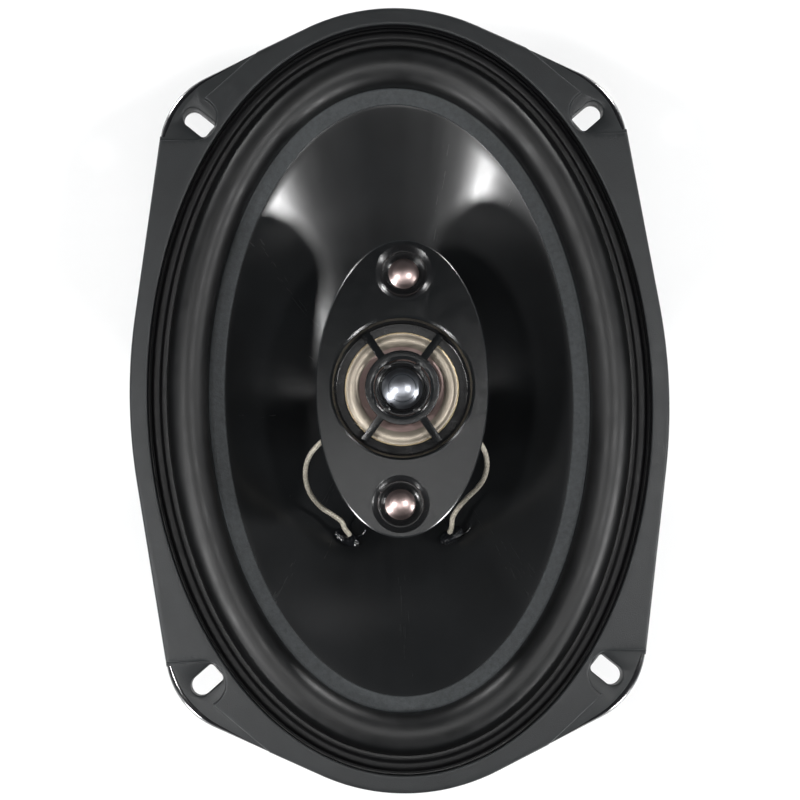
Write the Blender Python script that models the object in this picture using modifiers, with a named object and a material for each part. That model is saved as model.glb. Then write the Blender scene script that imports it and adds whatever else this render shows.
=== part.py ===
"""Oval coaxial car loudspeaker, modelled in metres.

It lies on its magnet with the cone facing up. The origin is the centre of the magnet's
back face, +Z points at the listener and +Y runs along the oval's long axis.
"""
import math

import bmesh
import bpy
from mathutils import Vector

MM = 0.001
GAP = 0.3 * MM                       # clearance between pieces that touch

# Heights of the main planes above the magnet's back face
BACK_PLATE_TOP = 6.0 * MM
MAGNET_HEIGHT = 15.4 * MM
FRONT_PLATE_BOTTOM = BACK_PLATE_TOP + MAGNET_HEIGHT + 2 * GAP
FRONT_PLATE_TOP = 27.0 * MM
FRONT_Z = 84.0 * MM                  # front face of the trim ring
TRIM_DEPTH = 6.0 * MM
POD_Z = FRONT_Z + 16.0 * MM          # front face of the bridge housing

# Motor
MOTOR_RADIUS = 43.0 * MM
MAGNET_RADIUS = 45.0 * MM
MAGNET_BORE = 20.0 * MM
POLE_RADIUS = 14.4 * MM
PLATE_BORE = 16.7 * MM
SCREW_HOLE = 1.9 * MM
COUNTERBORE_RADIUS = 5.5 * MM
COUNTERBORE_DEPTH = 4.6 * MM
FORMER_INNER = 14.75 * MM
FORMER_OUTER = 15.05 * MM
COIL_INNER = FORMER_OUTER + GAP
COIL_OUTER = 16.1 * MM

# Oval flange: corner points of a rounded octagon and the arc radius at each corner
SIDE_CORNER = 83.5 * MM
EAR_CORNER = (69.6 * MM, 92.75 * MM)
END_CORNER = 125.8 * MM
SIDE_ARC = 170.0 * MM
EAR_ARC = 25.0 * MM
END_ARC = 61.0 * MM
STEEL = 1.2 * MM                     # basket sheet thickness
BASKET_INSET = 1.0 * MM              # the trim ring overhangs the basket by this
SLOT_CENTRE = (60.0 * MM, 84.8 * MM)
SLOT_LENGTH = 9.8 * MM
SLOT_WIDTH = 6.2 * MM
SLOT_ANGLE = math.radians(40.0)
PAD_RADIUS = 6.8 * MM                # recess round each mounting slot
PAD_SHIFT = 1.0 * MM
PAD_DEPTH = 1.0 * MM

# Nested ellipses: a ring at offset d has half-axes OPENING_A - d and OPENING_B - d
OPENING_A = 76.5 * MM
OPENING_B = 114.2 * MM
ROLL_CENTRE_OFFSET = 11.85 * MM
ROLL_RADIUS = 6.25 * MM
RUBBER = 0.8 * MM
LIP_OUTER_OFFSET = 18.1 * MM
LIP_INNER_OFFSET = 23.1 * MM
LIP_TOP = FRONT_Z - 9.0 * MM
LIP_DROP = 0.6 * MM

# Cone
NECK_RADIUS = FORMER_OUTER + GAP
NECK_BOTTOM = 38.0 * MM
NECK_TOP = 41.5 * MM
CONE_EDGE_Z = 73.4 * MM
CONE_WALL = 0.8 * MM
SPIDER_RADIUS = 52.0 * MM
SPIDER_BOTTOM = 34.6 * MM
SPIDER_THICKNESS = 2.4 * MM

# Bridge housing and its drivers; one screw clamps the bridge, which sits slightly turned
POD_TURN = math.radians(-2.2)
POD_A = 25.5 * MM
POD_B = 44.2 * MM
POD_WALL = 1.6 * MM
POD_FACE = 2.0 * MM
POD_BACK = 82.0 * MM
MID_RECESS = 21.1 * MM
MID_OPENING = 19.3 * MM
MID_COLLAR_BOTTOM = 96.8 * MM
SUPER_Y = 34.3 * MM
SUPER_RECESS = 8.2 * MM
SUPER_OPENING = 6.6 * MM
SUPER_DOME_RADIUS = 4.7 * MM
SUPER_DOME_RISE = 1.4 * MM
CENTRE_DOME_RADIUS = 6.3 * MM
CENTRE_DOME_RISE = 2.4 * MM
GUARD_RING_INNER = 8.5 * MM
GUARD_RING_OUTER = 11.0 * MM
GUARD_ARM_WIDTH = 2.3 * MM
GUARD_ARM_REACH = 19.3 * MM
GUARD_ARM_ANGLE = math.radians(35.0)     # from the long axis
GUARD_BOTTOM = 97.5 * MM
GUARD_TOP = 99.2 * MM

# Terminal board on the spoke at the -Y end
SPOKE_FOOT = (64.0 * MM, 40.0 * MM)      # distance along Y and height of the spoke's foot
SPOKE_HEAD = (103.0 * MM, 62.0 * MM)
BOARD_SIZE = (34.0 * MM, 20.0 * MM, 1.6 * MM)
TAB_THICKNESS = 0.8 * MM
TAB_LENGTH = 24.0 * MM
TAB_X = 11.0 * MM
TAB_RIVET_Y = -4.0 * MM

# Flexible leads
LEAD_DIAMETER = 1.6 * MM
EYELETS = {"left": (-17.3 * MM, -43.0 * MM), "right": (16.2 * MM, -43.0 * MM)}
GLUE_SIZE = (4.5 * MM, 2.3 * MM, 1.3 * MM)
FRONT_LEAD_ROUTES_MM = {
    "left": [
        (-13.0, -8.0, 81.7), (-14.2, -8.4, 80.5), (-19.1, -10.6, 80.4), (-25.0, -14.7, 79.4),
        (-28.1, -18.4, 77.8), (-29.3, -22.5, 75.2), (-28.9, -26.9, 71.8), (-27.2, -30.4, 68.8),
        (-24.5, -33.4, 66.0), (-20.9, -35.8, 63.8), (-18.6, -37.6, 62.4), (-17.6, -39.8, 61.4),
    ],
    "right": [
        (13.0, -8.0, 81.7), (14.2, -8.6, 80.5), (19.0, -11.4, 80.4), (23.3, -14.8, 79.5),
        (25.4, -18.1, 77.9), (26.1, -21.9, 75.4), (25.3, -25.7, 72.6), (23.3, -28.6, 70.0),
        (20.6, -31.1, 67.6), (17.9, -34.0, 65.0), (16.0, -37.0, 62.8), (15.6, -39.8, 61.6),
    ],
}
REAR_LEAD_ROUTES_MM = {
    "left": [
        (-11.0, -79.3, 50.6), (-11.3, -77.5, 53.0), (-12.2, -73.0, 54.6), (-13.8, -66.0, 53.6),
        (-15.3, -58.5, 51.2), (-16.6, -51.5, 49.6), (-17.3, -46.5, 49.8), (-17.3, -43.8, 53.6),
    ],
    "right": [
        (11.0, -79.3, 50.6), (11.3, -77.5, 53.0), (12.2, -73.0, 54.6), (13.4, -66.0, 53.6),
        (14.7, -58.5, 51.2), (15.8, -51.5, 49.6), (16.2, -46.5, 49.8), (16.2, -43.8, 53.6),
    ],
}

RING_STEPS = 44
FINE_STEPS = 32
SMALL_STEPS = 16


# --- helpers -------------------------------------------------------------------------------

def clear_scene():
    """Remove every object of the scene that the script starts in."""
    for obj in list(bpy.data.objects):
        bpy.data.objects.remove(obj, do_unlink=True)


def make_collection(name):
    collection = bpy.data.collections.new(name)
    bpy.context.scene.collection.children.link(collection)
    return collection


def make_material(name, colour, roughness, metallic=0.0):
    material = bpy.data.materials.new(name)
    material.use_nodes = True
    shader = material.node_tree.nodes["Principled BSDF"]
    shader.inputs["Base Color"].default_value = (*colour, 1.0)
    shader.inputs["Roughness"].default_value = roughness
    shader.inputs["Metallic"].default_value = metallic
    return material


def add_object(name, data, material=None):
    """Link a new object to the speaker's collection, or to the cutters without a material."""
    obj = bpy.data.objects.new(name, data)
    if material is None:
        cutters.objects.link(obj)
        obj.hide_render = True
        obj.display_type = "WIRE"
    else:
        speaker.objects.link(obj)
        data.materials.append(material)
    return obj


def finish_mesh(name, bm, material):
    """Turn a bmesh into an object, with its normals pointing out and shaded smooth."""
    bmesh.ops.recalc_face_normals(bm, faces=bm.faces)
    mesh = bpy.data.meshes.new(name)
    bm.to_mesh(mesh)
    bm.free()
    mesh.shade_smooth()
    mesh.set_sharp_from_angle(angle=math.radians(35.0))
    return add_object(name, mesh, material)


def lathe(name, profile, material=None, steps=FINE_STEPS, closed=False, location=(0, 0, 0)):
    """Turn an (r, z) profile about the object's own Z axis with a Screw modifier."""
    mesh = bpy.data.meshes.new(name)
    edges = [(i, i + 1) for i in range(len(profile) - 1)]
    if closed:
        edges.append((len(profile) - 1, 0))
    mesh.from_pydata([(r, 0.0, z) for r, z in profile], edges, [])
    obj = add_object(name, mesh, material)
    obj.location = location
    screw = obj.modifiers.new("Turn", "SCREW")
    screw.steps = steps
    screw.render_steps = steps
    screw.use_merge_vertices = True
    screw.merge_threshold = 0.00001
    return obj


def tube_section(inner, outer, bottom, top):
    """Profile of a plain ring, ready for lathe with closed=True."""
    return [(inner, top), (outer, top), (outer, bottom), (inner, bottom)]


def box(name, size, location, material=None, parent=None, rotation=(0, 0, 0)):
    bm = bmesh.new()
    bmesh.ops.create_cube(bm, size=1.0)
    bmesh.ops.scale(bm, vec=size, verts=bm.verts)
    obj = finish_mesh(name, bm, material)
    obj.location = location
    obj.rotation_euler = rotation
    obj.parent = parent
    return obj


def ellipse_ring(a, b, z, angles):
    """Closed loop of points of an ellipse at the given parameter angles."""
    return [(a * math.cos(t), b * math.sin(t), z) for t in angles]


def even_angles(steps):
    return [2 * math.pi * i / steps for i in range(steps)]


def bridge_rings(bm, rings, closed):
    """Add quads between neighbouring loops of equal length, and from the last to the first."""
    loops = [[bm.verts.new(point) for point in ring] for ring in rings]
    pairs = list(zip(loops, loops[1:]))
    if closed:
        pairs.append((loops[-1], loops[0]))
    count = len(loops[0])
    for lower, upper in pairs:
        for i in range(count):
            j = (i + 1) % count
            bm.faces.new((lower[i], lower[j], upper[j], upper[i]))
    return loops


def loft_ring(name, sections, material, steps=RING_STEPS):
    """Solid ring whose closed profile is a list of (half-axis a, half-axis b, z) ellipses."""
    bm = bmesh.new()
    angles = even_angles(steps)
    bridge_rings(bm, [ellipse_ring(a, b, z, angles) for a, b, z in sections], closed=True)
    return finish_mesh(name, bm, material)


def loft_solid(name, sections, material=None, steps=RING_STEPS):
    """Solid through a stack of ellipses, with a flat cap at each end."""
    bm = bmesh.new()
    angles = even_angles(steps)
    loops = bridge_rings(bm, [ellipse_ring(a, b, z, angles) for a, b, z in sections], False)
    bm.faces.new(list(reversed(loops[0])))
    bm.faces.new(loops[-1])
    return finish_mesh(name, bm, material)


def boolean(obj, other, operation="DIFFERENCE"):
    modifier = obj.modifiers.new(operation.title(), "BOOLEAN")
    modifier.operation = operation
    modifier.object = other


def rounded_polygon(corners, arcs, inset):
    """Polygon with a tangent arc (radius, steps) at each corner, moved inward by inset."""
    points = []
    for i, (radius, arc_steps) in enumerate(arcs):
        corner = Vector(corners[i])
        before = (Vector(corners[i - 1]) - corner).normalized()
        after = (Vector(corners[(i + 1) % len(corners)]) - corner).normalized()
        half = before.angle(after) / 2
        centre = corner + (before + after).normalized() * radius / math.sin(half)
        middle = (corner - centre).normalized()
        middle_angle = math.atan2(middle.y, middle.x)
        sweep = math.pi / 2 - half
        for step in range(arc_steps + 1):
            angle = middle_angle + sweep * (2 * step / arc_steps - 1)
            reach = radius - inset
            points.append((centre.x + reach * math.cos(angle), centre.y + reach * math.sin(angle)))
    return points


def split_long_edges(points, longest):
    """Closed outline with extra points on its straight runs."""
    result = []
    for i, start in enumerate(points):
        end = points[(i + 1) % len(points)]
        pieces = max(1, math.ceil(math.dist(start, end) / longest))
        for k in range(pieces):
            result.append(tuple(s + (e - s) * k / pieces for s, e in zip(start, end)))
    return result


def flange_outline(inset=0.0):
    """The flange's rounded octagon, counter-clockwise from the +X side."""
    ear_x, ear_y = EAR_CORNER
    corners = [
        (SIDE_CORNER, 0.0), (ear_x, ear_y), (0.0, END_CORNER), (-ear_x, ear_y),
        (-SIDE_CORNER, 0.0), (-ear_x, -ear_y), (0.0, -END_CORNER), (ear_x, -ear_y),
    ]
    arcs = [(SIDE_ARC, 2), (EAR_ARC, 4), (END_ARC, 6), (EAR_ARC, 4)] * 2
    return split_long_edges(rounded_polygon(corners, arcs, inset), 20 * MM)


def flat_solid(name, loops, bottom, top, material=None):
    """Plate from closed flat loops, the first one its outline and the others its holes."""
    curve = bpy.data.curves.new(name, "CURVE")
    curve.dimensions = "2D"
    curve.fill_mode = "BOTH"
    curve.extrude = (top - bottom) / 2
    for loop in loops:
        spline = curve.splines.new("POLY")
        spline.points.add(len(loop) - 1)
        for point, (x, y) in zip(spline.points, loop):
            point.co = (x, y, 0.0, 1.0)
        spline.use_cyclic_u = True
    obj = add_object(name, curve, material)
    obj.location.z = (top + bottom) / 2
    return make_solid_mesh(obj, material)


def make_solid_mesh(curve_object, material):
    """Swap a curve object for a closed mesh object of the same name and place."""
    name = curve_object.name
    bpy.context.view_layer.update()
    evaluated = curve_object.evaluated_get(bpy.context.evaluated_depsgraph_get())
    mesh = bpy.data.meshes.new_from_object(evaluated)
    matrix = curve_object.matrix_world.copy()
    bpy.data.objects.remove(curve_object, do_unlink=True)
    bm = bmesh.new()
    bm.from_mesh(mesh)
    bmesh.ops.remove_doubles(bm, verts=bm.verts, dist=0.00001)
    bpy.data.meshes.remove(mesh)
    obj = finish_mesh(name, bm, material)
    obj.name = name
    obj.matrix_world = matrix
    return obj


def lead(name, route, material):
    """Round flexible lead along the points of its route."""
    curve = bpy.data.curves.new(name, "CURVE")
    curve.dimensions = "3D"
    curve.bevel_depth = LEAD_DIAMETER / 2
    curve.bevel_resolution = 2
    curve.use_fill_caps = True
    spline = curve.splines.new("POLY")
    spline.points.add(len(route) - 1)
    for target, point in zip(spline.points, route):
        target.co = (*point, 1.0)
    add_object(name, curve, material)


def quadrants():
    """Sign pairs of the four corners, counter-clockwise from +X +Y."""
    return [(1, 1), (-1, 1), (-1, -1), (1, -1)]


# --- flange, basket and surround -----------------------------------------------------------

def slot_outline(sign_x, sign_y, steps=8):
    """Round-ended mounting slot of one corner, its long axis towards the middle."""
    direction = Vector((sign_x * math.cos(SLOT_ANGLE), sign_y * math.sin(SLOT_ANGLE)))
    centre = Vector((sign_x * SLOT_CENTRE[0], sign_y * SLOT_CENTRE[1]))
    points = []
    for end in (1, -1):
        middle = centre + direction * end * (SLOT_LENGTH - SLOT_WIDTH) / 2
        start = math.atan2(end * direction.y, end * direction.x) - math.pi / 2
        for step in range(steps + 1):
            angle = start + math.pi * step / steps
            points.append((middle.x + SLOT_WIDTH / 2 * math.cos(angle),
                           middle.y + SLOT_WIDTH / 2 * math.sin(angle)))
    return points


def pad_outline(sign_x, sign_y, steps=12):
    """Recess round a slot: an arc on its inner side, open to the flange's edge."""
    centre_x = SLOT_CENTRE[0] + PAD_SHIFT * math.cos(SLOT_ANGLE)
    centre_y = SLOT_CENTRE[1] + PAD_SHIFT * math.sin(SLOT_ANGLE)
    points = [(90 * MM, centre_y - PAD_RADIUS + 0.6 * MM)]
    first, last = math.radians(-90.0), math.radians(-245.0)
    for step in range(steps + 1):
        angle = first + (last - first) * step / steps
        points.append((centre_x + PAD_RADIUS * math.cos(angle),
                       centre_y + PAD_RADIUS * math.sin(angle)))
    points += [(40.0 * MM, 107.2 * MM), (44.0 * MM, 113.0 * MM), (90 * MM, 113.0 * MM)]
    return [(sign_x * x, sign_y * y) for x, y in points]


def build_trim_ring():
    opening = [(x, y) for x, y, _ in ellipse_ring(OPENING_A - 0.2 * MM, OPENING_B - 0.2 * MM, 0,
                                                  even_angles(RING_STEPS))]
    loops = [flange_outline(), opening] + [slot_outline(*signs) for signs in quadrants()]
    bottom = FRONT_Z - TRIM_DEPTH
    ring = flat_solid("trim_ring", loops, bottom, FRONT_Z, paint_black)
    for number, signs in enumerate(quadrants()):
        cutter = flat_solid(f"pad_cutter_{number}", [pad_outline(*signs)],
                            FRONT_Z - PAD_DEPTH, FRONT_Z + PAD_DEPTH)
        boolean(ring, cutter)


def build_basket():
    """Pressed steel frame: flange, sloping wall with windows, spider ledge and bottom."""
    outline = flange_outline(BASKET_INSET)
    rim = FRONT_Z - TRIM_DEPTH - GAP
    angles = [math.atan2(y / OPENING_B, x / OPENING_A) for x, y in outline]
    sections = [
        (OPENING_A - 5.0 * MM, OPENING_B - 5.0 * MM, rim),
        (67.0 * MM, SPOKE_HEAD[0], SPOKE_HEAD[1]),
        (56.0 * MM, SPOKE_FOOT[0], SPOKE_FOOT[1]),
        (53.5 * MM, 53.5 * MM, SPIDER_BOTTOM - GAP),
        (48.0 * MM, 48.0 * MM, SPIDER_BOTTOM - GAP),
        (44.0 * MM, 44.0 * MM, FRONT_PLATE_TOP + GAP + STEEL),
        (18.5 * MM, 18.5 * MM, FRONT_PLATE_TOP + GAP + STEEL),
    ]
    rings = [[(x, y, rim) for x, y in outline]]
    rings += [ellipse_ring(a, b, z, angles) for a, b, z in sections]
    bm = bmesh.new()
    bridge_rings(bm, rings, closed=False)
    basket = finish_mesh("basket", bm, paint_black)
    solidify = basket.modifiers.new("Sheet", "SOLIDIFY")
    solidify.thickness = STEEL
    solidify.offset = -1.0
    solidify.use_even_offset = True
    for number, signs in enumerate(quadrants()):
        boolean(basket, flat_solid(f"slot_cutter_{number}", [slot_outline(*signs)],
                                   rim - 4 * MM, rim + 4 * MM))
    for number in range(6):
        boolean(basket, window_cutter(number))
    for number in range(4):
        x, y = rivet_place(number)
        boolean(basket, lathe(f"basket_rivet_hole_{number}", disc_section(2.2 * MM, 26 * MM, 30 * MM),
                              steps=12, location=(x, y, 0)))
    return basket


def window_cutter(number):
    """Prism through the sloping wall between two spokes."""
    middle = math.radians(60.0 * number)
    half = math.radians(23.5)
    steps = 10
    sweep = [middle + half * (2 * i / steps - 1) for i in range(steps + 1)]
    loop = [(58.5 * MM * math.cos(t), 68.0 * MM * math.sin(t)) for t in sweep]
    loop += [(66.0 * MM * math.cos(t), 99.0 * MM * math.sin(t)) for t in reversed(sweep)]
    return flat_solid(f"window_cutter_{number}", [loop], 36 * MM, 72 * MM)


def disc_section(radius, bottom, top):
    """Profile of a plain cylinder, ready for lathe."""
    return [(0.0, top), (radius, top), (radius, bottom), (0.0, bottom)]


def rivet_place(number):
    angle = math.radians(45.0 + 90.0 * number)
    return 32.0 * MM * math.cos(angle), 32.0 * MM * math.sin(angle)


def build_surround():
    """Rubber edge: glued rim with a bead, half roll, and the lip that holds the cone."""
    rim_bottom = FRONT_Z - TRIM_DEPTH
    rim_top = rim_bottom + 1.0 * MM
    roll_z = FRONT_Z - 5.8 * MM
    top = [(0.5 * MM, rim_top), (1.1 * MM, rim_top), (2.0 * MM, rim_top + 0.9 * MM),
           (3.4 * MM, rim_top + 0.9 * MM), (4.3 * MM, rim_top), (5.0 * MM, rim_top - 0.2 * MM)]
    under = []
    arc_steps = 5
    for step in range(arc_steps + 1):
        angle = math.pi * (1 - step / arc_steps)
        reach = ROLL_RADIUS - RUBBER
        top.append((ROLL_CENTRE_OFFSET + ROLL_RADIUS * math.cos(angle),
                    roll_z + ROLL_RADIUS * math.sin(angle)))
        under.append((ROLL_CENTRE_OFFSET + reach * math.cos(angle),
                      roll_z + reach * math.sin(angle)))
    top += [(LIP_OUTER_OFFSET, LIP_TOP + 0.3 * MM), (LIP_OUTER_OFFSET + 0.4 * MM, LIP_TOP),
            (LIP_INNER_OFFSET, LIP_TOP - LIP_DROP)]
    under += [(LIP_OUTER_OFFSET - RUBBER, LIP_TOP - 0.7 * MM),
              (LIP_INNER_OFFSET, LIP_TOP - LIP_DROP - 0.7 * MM)]
    bottom = [(0.5 * MM, rim_bottom), (5.5 * MM, rim_bottom)]
    profile = top + list(reversed(bottom + under))
    sections = [(OPENING_A - d, OPENING_B - d, z) for d, z in profile]
    loft_ring("surround", sections, rubber_black)


# --- cone, voice coil and spider -----------------------------------------------------------

def cone_section(t):
    """Half-axes and height of the cone's front at t, 0 at the neck and 1 at the edge."""
    a = NECK_RADIUS + (OPENING_A - LIP_INNER_OFFSET - NECK_RADIUS) * t
    b = NECK_RADIUS + (OPENING_B - LIP_INNER_OFFSET - NECK_RADIUS) * t
    return a, b, NECK_TOP + (CONE_EDGE_Z - NECK_TOP) * t


def cone_height(x, y):
    """Height of the cone's front above the point (x, y), by bisection along its slope."""
    low, high = 0.0, 1.0
    for _ in range(40):
        middle = (low + high) / 2
        a, b, _ = cone_section(middle)
        inside = (x / a) ** 2 + (y / b) ** 2 < 1
        low, high = (low, middle) if inside else (middle, high)
    return cone_section(low)[2]


def cone_normal(x, y):
    """Direction square to the cone's front, towards the listener."""
    step = 0.5 * MM
    slope_x = (cone_height(x + step, y) - cone_height(x - step, y)) / (2 * step)
    slope_y = (cone_height(x, y + step) - cone_height(x, y - step)) / (2 * step)
    return Vector((-slope_x, -slope_y, 1.0)).normalized()


def build_cone():
    edge_reach = 4.3 * MM                # how far the cone runs on under the surround's lip
    edge_rise = 0.6 * MM
    front = [(NECK_RADIUS, NECK_RADIUS, NECK_BOTTOM)]
    front += [cone_section(step / 4) for step in range(5)]
    a, b, z = front[-1]
    front.append((a + edge_reach, b + edge_reach, z + edge_rise))
    wall = CONE_WALL
    back = [(NECK_RADIUS + wall, NECK_RADIUS + wall, NECK_BOTTOM)]
    back.append((NECK_RADIUS + wall, NECK_RADIUS + wall, NECK_TOP - wall / 2))
    for step in range(1, 5):
        a, b, z = cone_section(step / 4)
        back.append((a + wall / 2, b + wall / 3, z - wall))
    back.append((a + edge_reach, b + edge_reach, z + edge_rise - wall))
    loft_ring("cone", front + list(reversed(back)), cone_black)


def build_coil():
    lathe("voice_coil_former", tube_section(FORMER_INNER, FORMER_OUTER, 16 * MM, 41 * MM),
          kapton_amber, closed=True)
    lathe("voice_coil_winding", tube_section(COIL_INNER, COIL_OUTER, 18 * MM, 31 * MM),
          copper, closed=True)


def build_spider():
    lathe("spider", tube_section(NECK_RADIUS, SPIDER_RADIUS, SPIDER_BOTTOM,
                                 SPIDER_BOTTOM + SPIDER_THICKNESS), cloth_tan, closed=True)


def build_glue():
    """Two beads of glue on the cone, over the eyelets that join its leads."""
    for word, (x, y) in EYELETS.items():
        normal = cone_normal(x, y)
        bm = bmesh.new()
        bmesh.ops.create_uvsphere(bm, u_segments=12, v_segments=6, radius=1.0)
        bmesh.ops.scale(bm, vec=GLUE_SIZE, verts=bm.verts)
        bead = finish_mesh(f"lead_glue_{word}", bm, glue_black)
        bead.location = Vector((x, y, cone_height(x, y))) + normal * (GLUE_SIZE[2] + GAP)
        bead.rotation_euler = normal.to_track_quat("Z", "Y").to_euler()


def glue_top(word):
    """Point just above a glue bead, where its front lead ends."""
    x, y = EYELETS[word]
    foot = Vector((x, y, cone_height(x, y)))
    return foot + cone_normal(x, y) * (2 * GLUE_SIZE[2] + 4 * GAP)


# --- motor ---------------------------------------------------------------------------------

def build_motor():
    back_profile = [
        (SCREW_HOLE, FRONT_PLATE_TOP), (POLE_RADIUS, FRONT_PLATE_TOP),
        (POLE_RADIUS, BACK_PLATE_TOP), (MOTOR_RADIUS, BACK_PLATE_TOP), (MOTOR_RADIUS, 0.0),
        (COUNTERBORE_RADIUS, 0.0), (COUNTERBORE_RADIUS, COUNTERBORE_DEPTH),
        (SCREW_HOLE, COUNTERBORE_DEPTH),
    ]
    lathe("back_plate", back_profile, zinc_steel, closed=True)
    magnet_bottom = BACK_PLATE_TOP + GAP
    lathe("magnet", tube_section(MAGNET_BORE, MAGNET_RADIUS, magnet_bottom,
                                 magnet_bottom + MAGNET_HEIGHT), ferrite, closed=True)
    plate = lathe("front_plate", tube_section(PLATE_BORE, MOTOR_RADIUS, FRONT_PLATE_BOTTOM,
                                              FRONT_PLATE_TOP), zinc_steel, closed=True)
    top = FRONT_PLATE_TOP + GAP + STEEL + GAP
    rivet_profile = [(0.0, top + 1.3 * MM), (2.0 * MM, top + 1.3 * MM), (3.1 * MM, top + 0.6 * MM),
                     (3.1 * MM, top), (1.9 * MM, top), (1.9 * MM, 24.3 * MM), (0.0, 24.3 * MM)]
    for number in range(4):
        x, y = rivet_place(number)
        hole = lathe(f"plate_rivet_hole_{number}", disc_section(2.2 * MM, 24 * MM, 28 * MM),
                     steps=12, location=(x, y, 0))
        boolean(plate, hole)
        lathe(f"basket_rivet_{number + 1}", rivet_profile, zinc_steel, steps=12, location=(x, y, 0))


# --- terminals -----------------------------------------------------------------------------

def spoke_axis():
    """Angle that turns local +Z square to the outside of the -Y spoke, and the spoke's middle."""
    run = SPOKE_HEAD[0] - SPOKE_FOOT[0]
    rise = SPOKE_HEAD[1] - SPOKE_FOOT[1]
    middle = Vector((0.0, -(SPOKE_FOOT[0] + run / 2), SPOKE_FOOT[1] + rise / 2))
    return math.pi - math.atan2(rise, run), middle


def build_terminals(basket):
    angle, middle = spoke_axis()
    frame = bpy.data.objects.new("terminal_frame", None)
    speaker.objects.link(frame)
    outward = Vector((0.0, -math.sin(angle), math.cos(angle)))
    frame.location = middle + outward * STEEL
    frame.rotation_euler = (angle, 0.0, 0.0)
    board_bottom = GAP
    board_top = board_bottom + BOARD_SIZE[2]
    board = box("terminal_board", BOARD_SIZE, (0, 0, (board_bottom + board_top) / 2),
                phenolic, frame)
    tab_bottom = board_top + GAP
    tab_top = tab_bottom + TAB_THICKNESS
    for x, width, word in ((TAB_X, 6.3 * MM, "positive"), (-TAB_X, 4.8 * MM, "negative")):
        place = (x, TAB_LENGTH / 2 - 8.0 * MM, (tab_bottom + tab_top) / 2)
        tab = box(f"terminal_{word}", (width, TAB_LENGTH, TAB_THICKNESS), place, tinned_brass, frame)
        hole = lathe(f"tab_hole_{word}", disc_section(1.2 * MM, -4 * MM, 8 * MM), steps=16,
                     location=(x, TAB_RIVET_Y, 0))
        hole.parent = frame
        boolean(tab, hole)
        boolean(board, hole)
        head = tab_top + GAP
        profile = [(0.0, head + 0.9 * MM), (1.9 * MM, head + 0.9 * MM), (1.9 * MM, head),
                   (0.9 * MM, head), (0.9 * MM, 0.0), (1.7 * MM, 0.0), (1.7 * MM, -1.0 * MM),
                   (0.0, -1.0 * MM)]
        rivet = lathe(f"terminal_rivet_{word}", profile, tinned_brass, steps=16,
                      location=(x, TAB_RIVET_Y, 0))
        rivet.parent = frame
    centre_hole = lathe("board_hole", disc_section(1.6 * MM, -6 * MM, 8 * MM), steps=16)
    centre_hole.parent = frame
    boolean(board, centre_hole)
    boolean(basket, centre_hole)
    head = board_top + GAP
    foot = -STEEL - GAP
    profile = [(0.0, head + 1.0 * MM), (2.6 * MM, head + 1.0 * MM), (2.6 * MM, head),
               (1.3 * MM, head), (1.3 * MM, foot), (2.6 * MM, foot), (2.6 * MM, foot - 1.0 * MM),
               (0.0, foot - 1.0 * MM)]
    lathe("terminal_board_rivet", profile, zinc_steel, steps=12).parent = frame


# --- bridge and its drivers ----------------------------------------------------------------

def build_post():
    foot = FRONT_PLATE_TOP + GAP
    top = POD_BACK
    profile = [(0.0, top), (11.0 * MM, top), (11.0 * MM, top - 2.7 * MM), (5.0 * MM, top - 6 * MM),
               (5.0 * MM, foot + 6 * MM), (9.0 * MM, foot + 2.2 * MM), (9.0 * MM, foot),
               (1.8 * MM, foot), (1.8 * MM, foot + 8.9 * MM), (0.0, foot + 8.9 * MM)]
    lathe("bridge_post", profile, gloss_black, steps=24)
    washer_top = COUNTERBORE_DEPTH - GAP
    washer_bottom = washer_top - 0.6 * MM
    lathe("bridge_washer", tube_section(1.8 * MM, 4.8 * MM, washer_bottom, washer_top),
          zinc_steel, steps=16, closed=True)
    head_top = washer_bottom - GAP
    shank = [(0.0, foot + 8.4 * MM), (1.5 * MM, foot + 8.4 * MM), (1.5 * MM, head_top),
             (3.5 * MM, head_top), (3.5 * MM, head_top - 1.3 * MM), (2.4 * MM, head_top - 2.1 * MM),
             (0.0, head_top - 2.1 * MM)]
    lathe("bridge_screw", shank, zinc_steel, steps=16)


def make_pod_frame():
    """Empty that carries the housing and its drivers, turned about the post."""
    frame = bpy.data.objects.new("pod_frame", None)
    speaker.objects.link(frame)
    frame.rotation_euler.z = POD_TURN
    return frame


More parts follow.
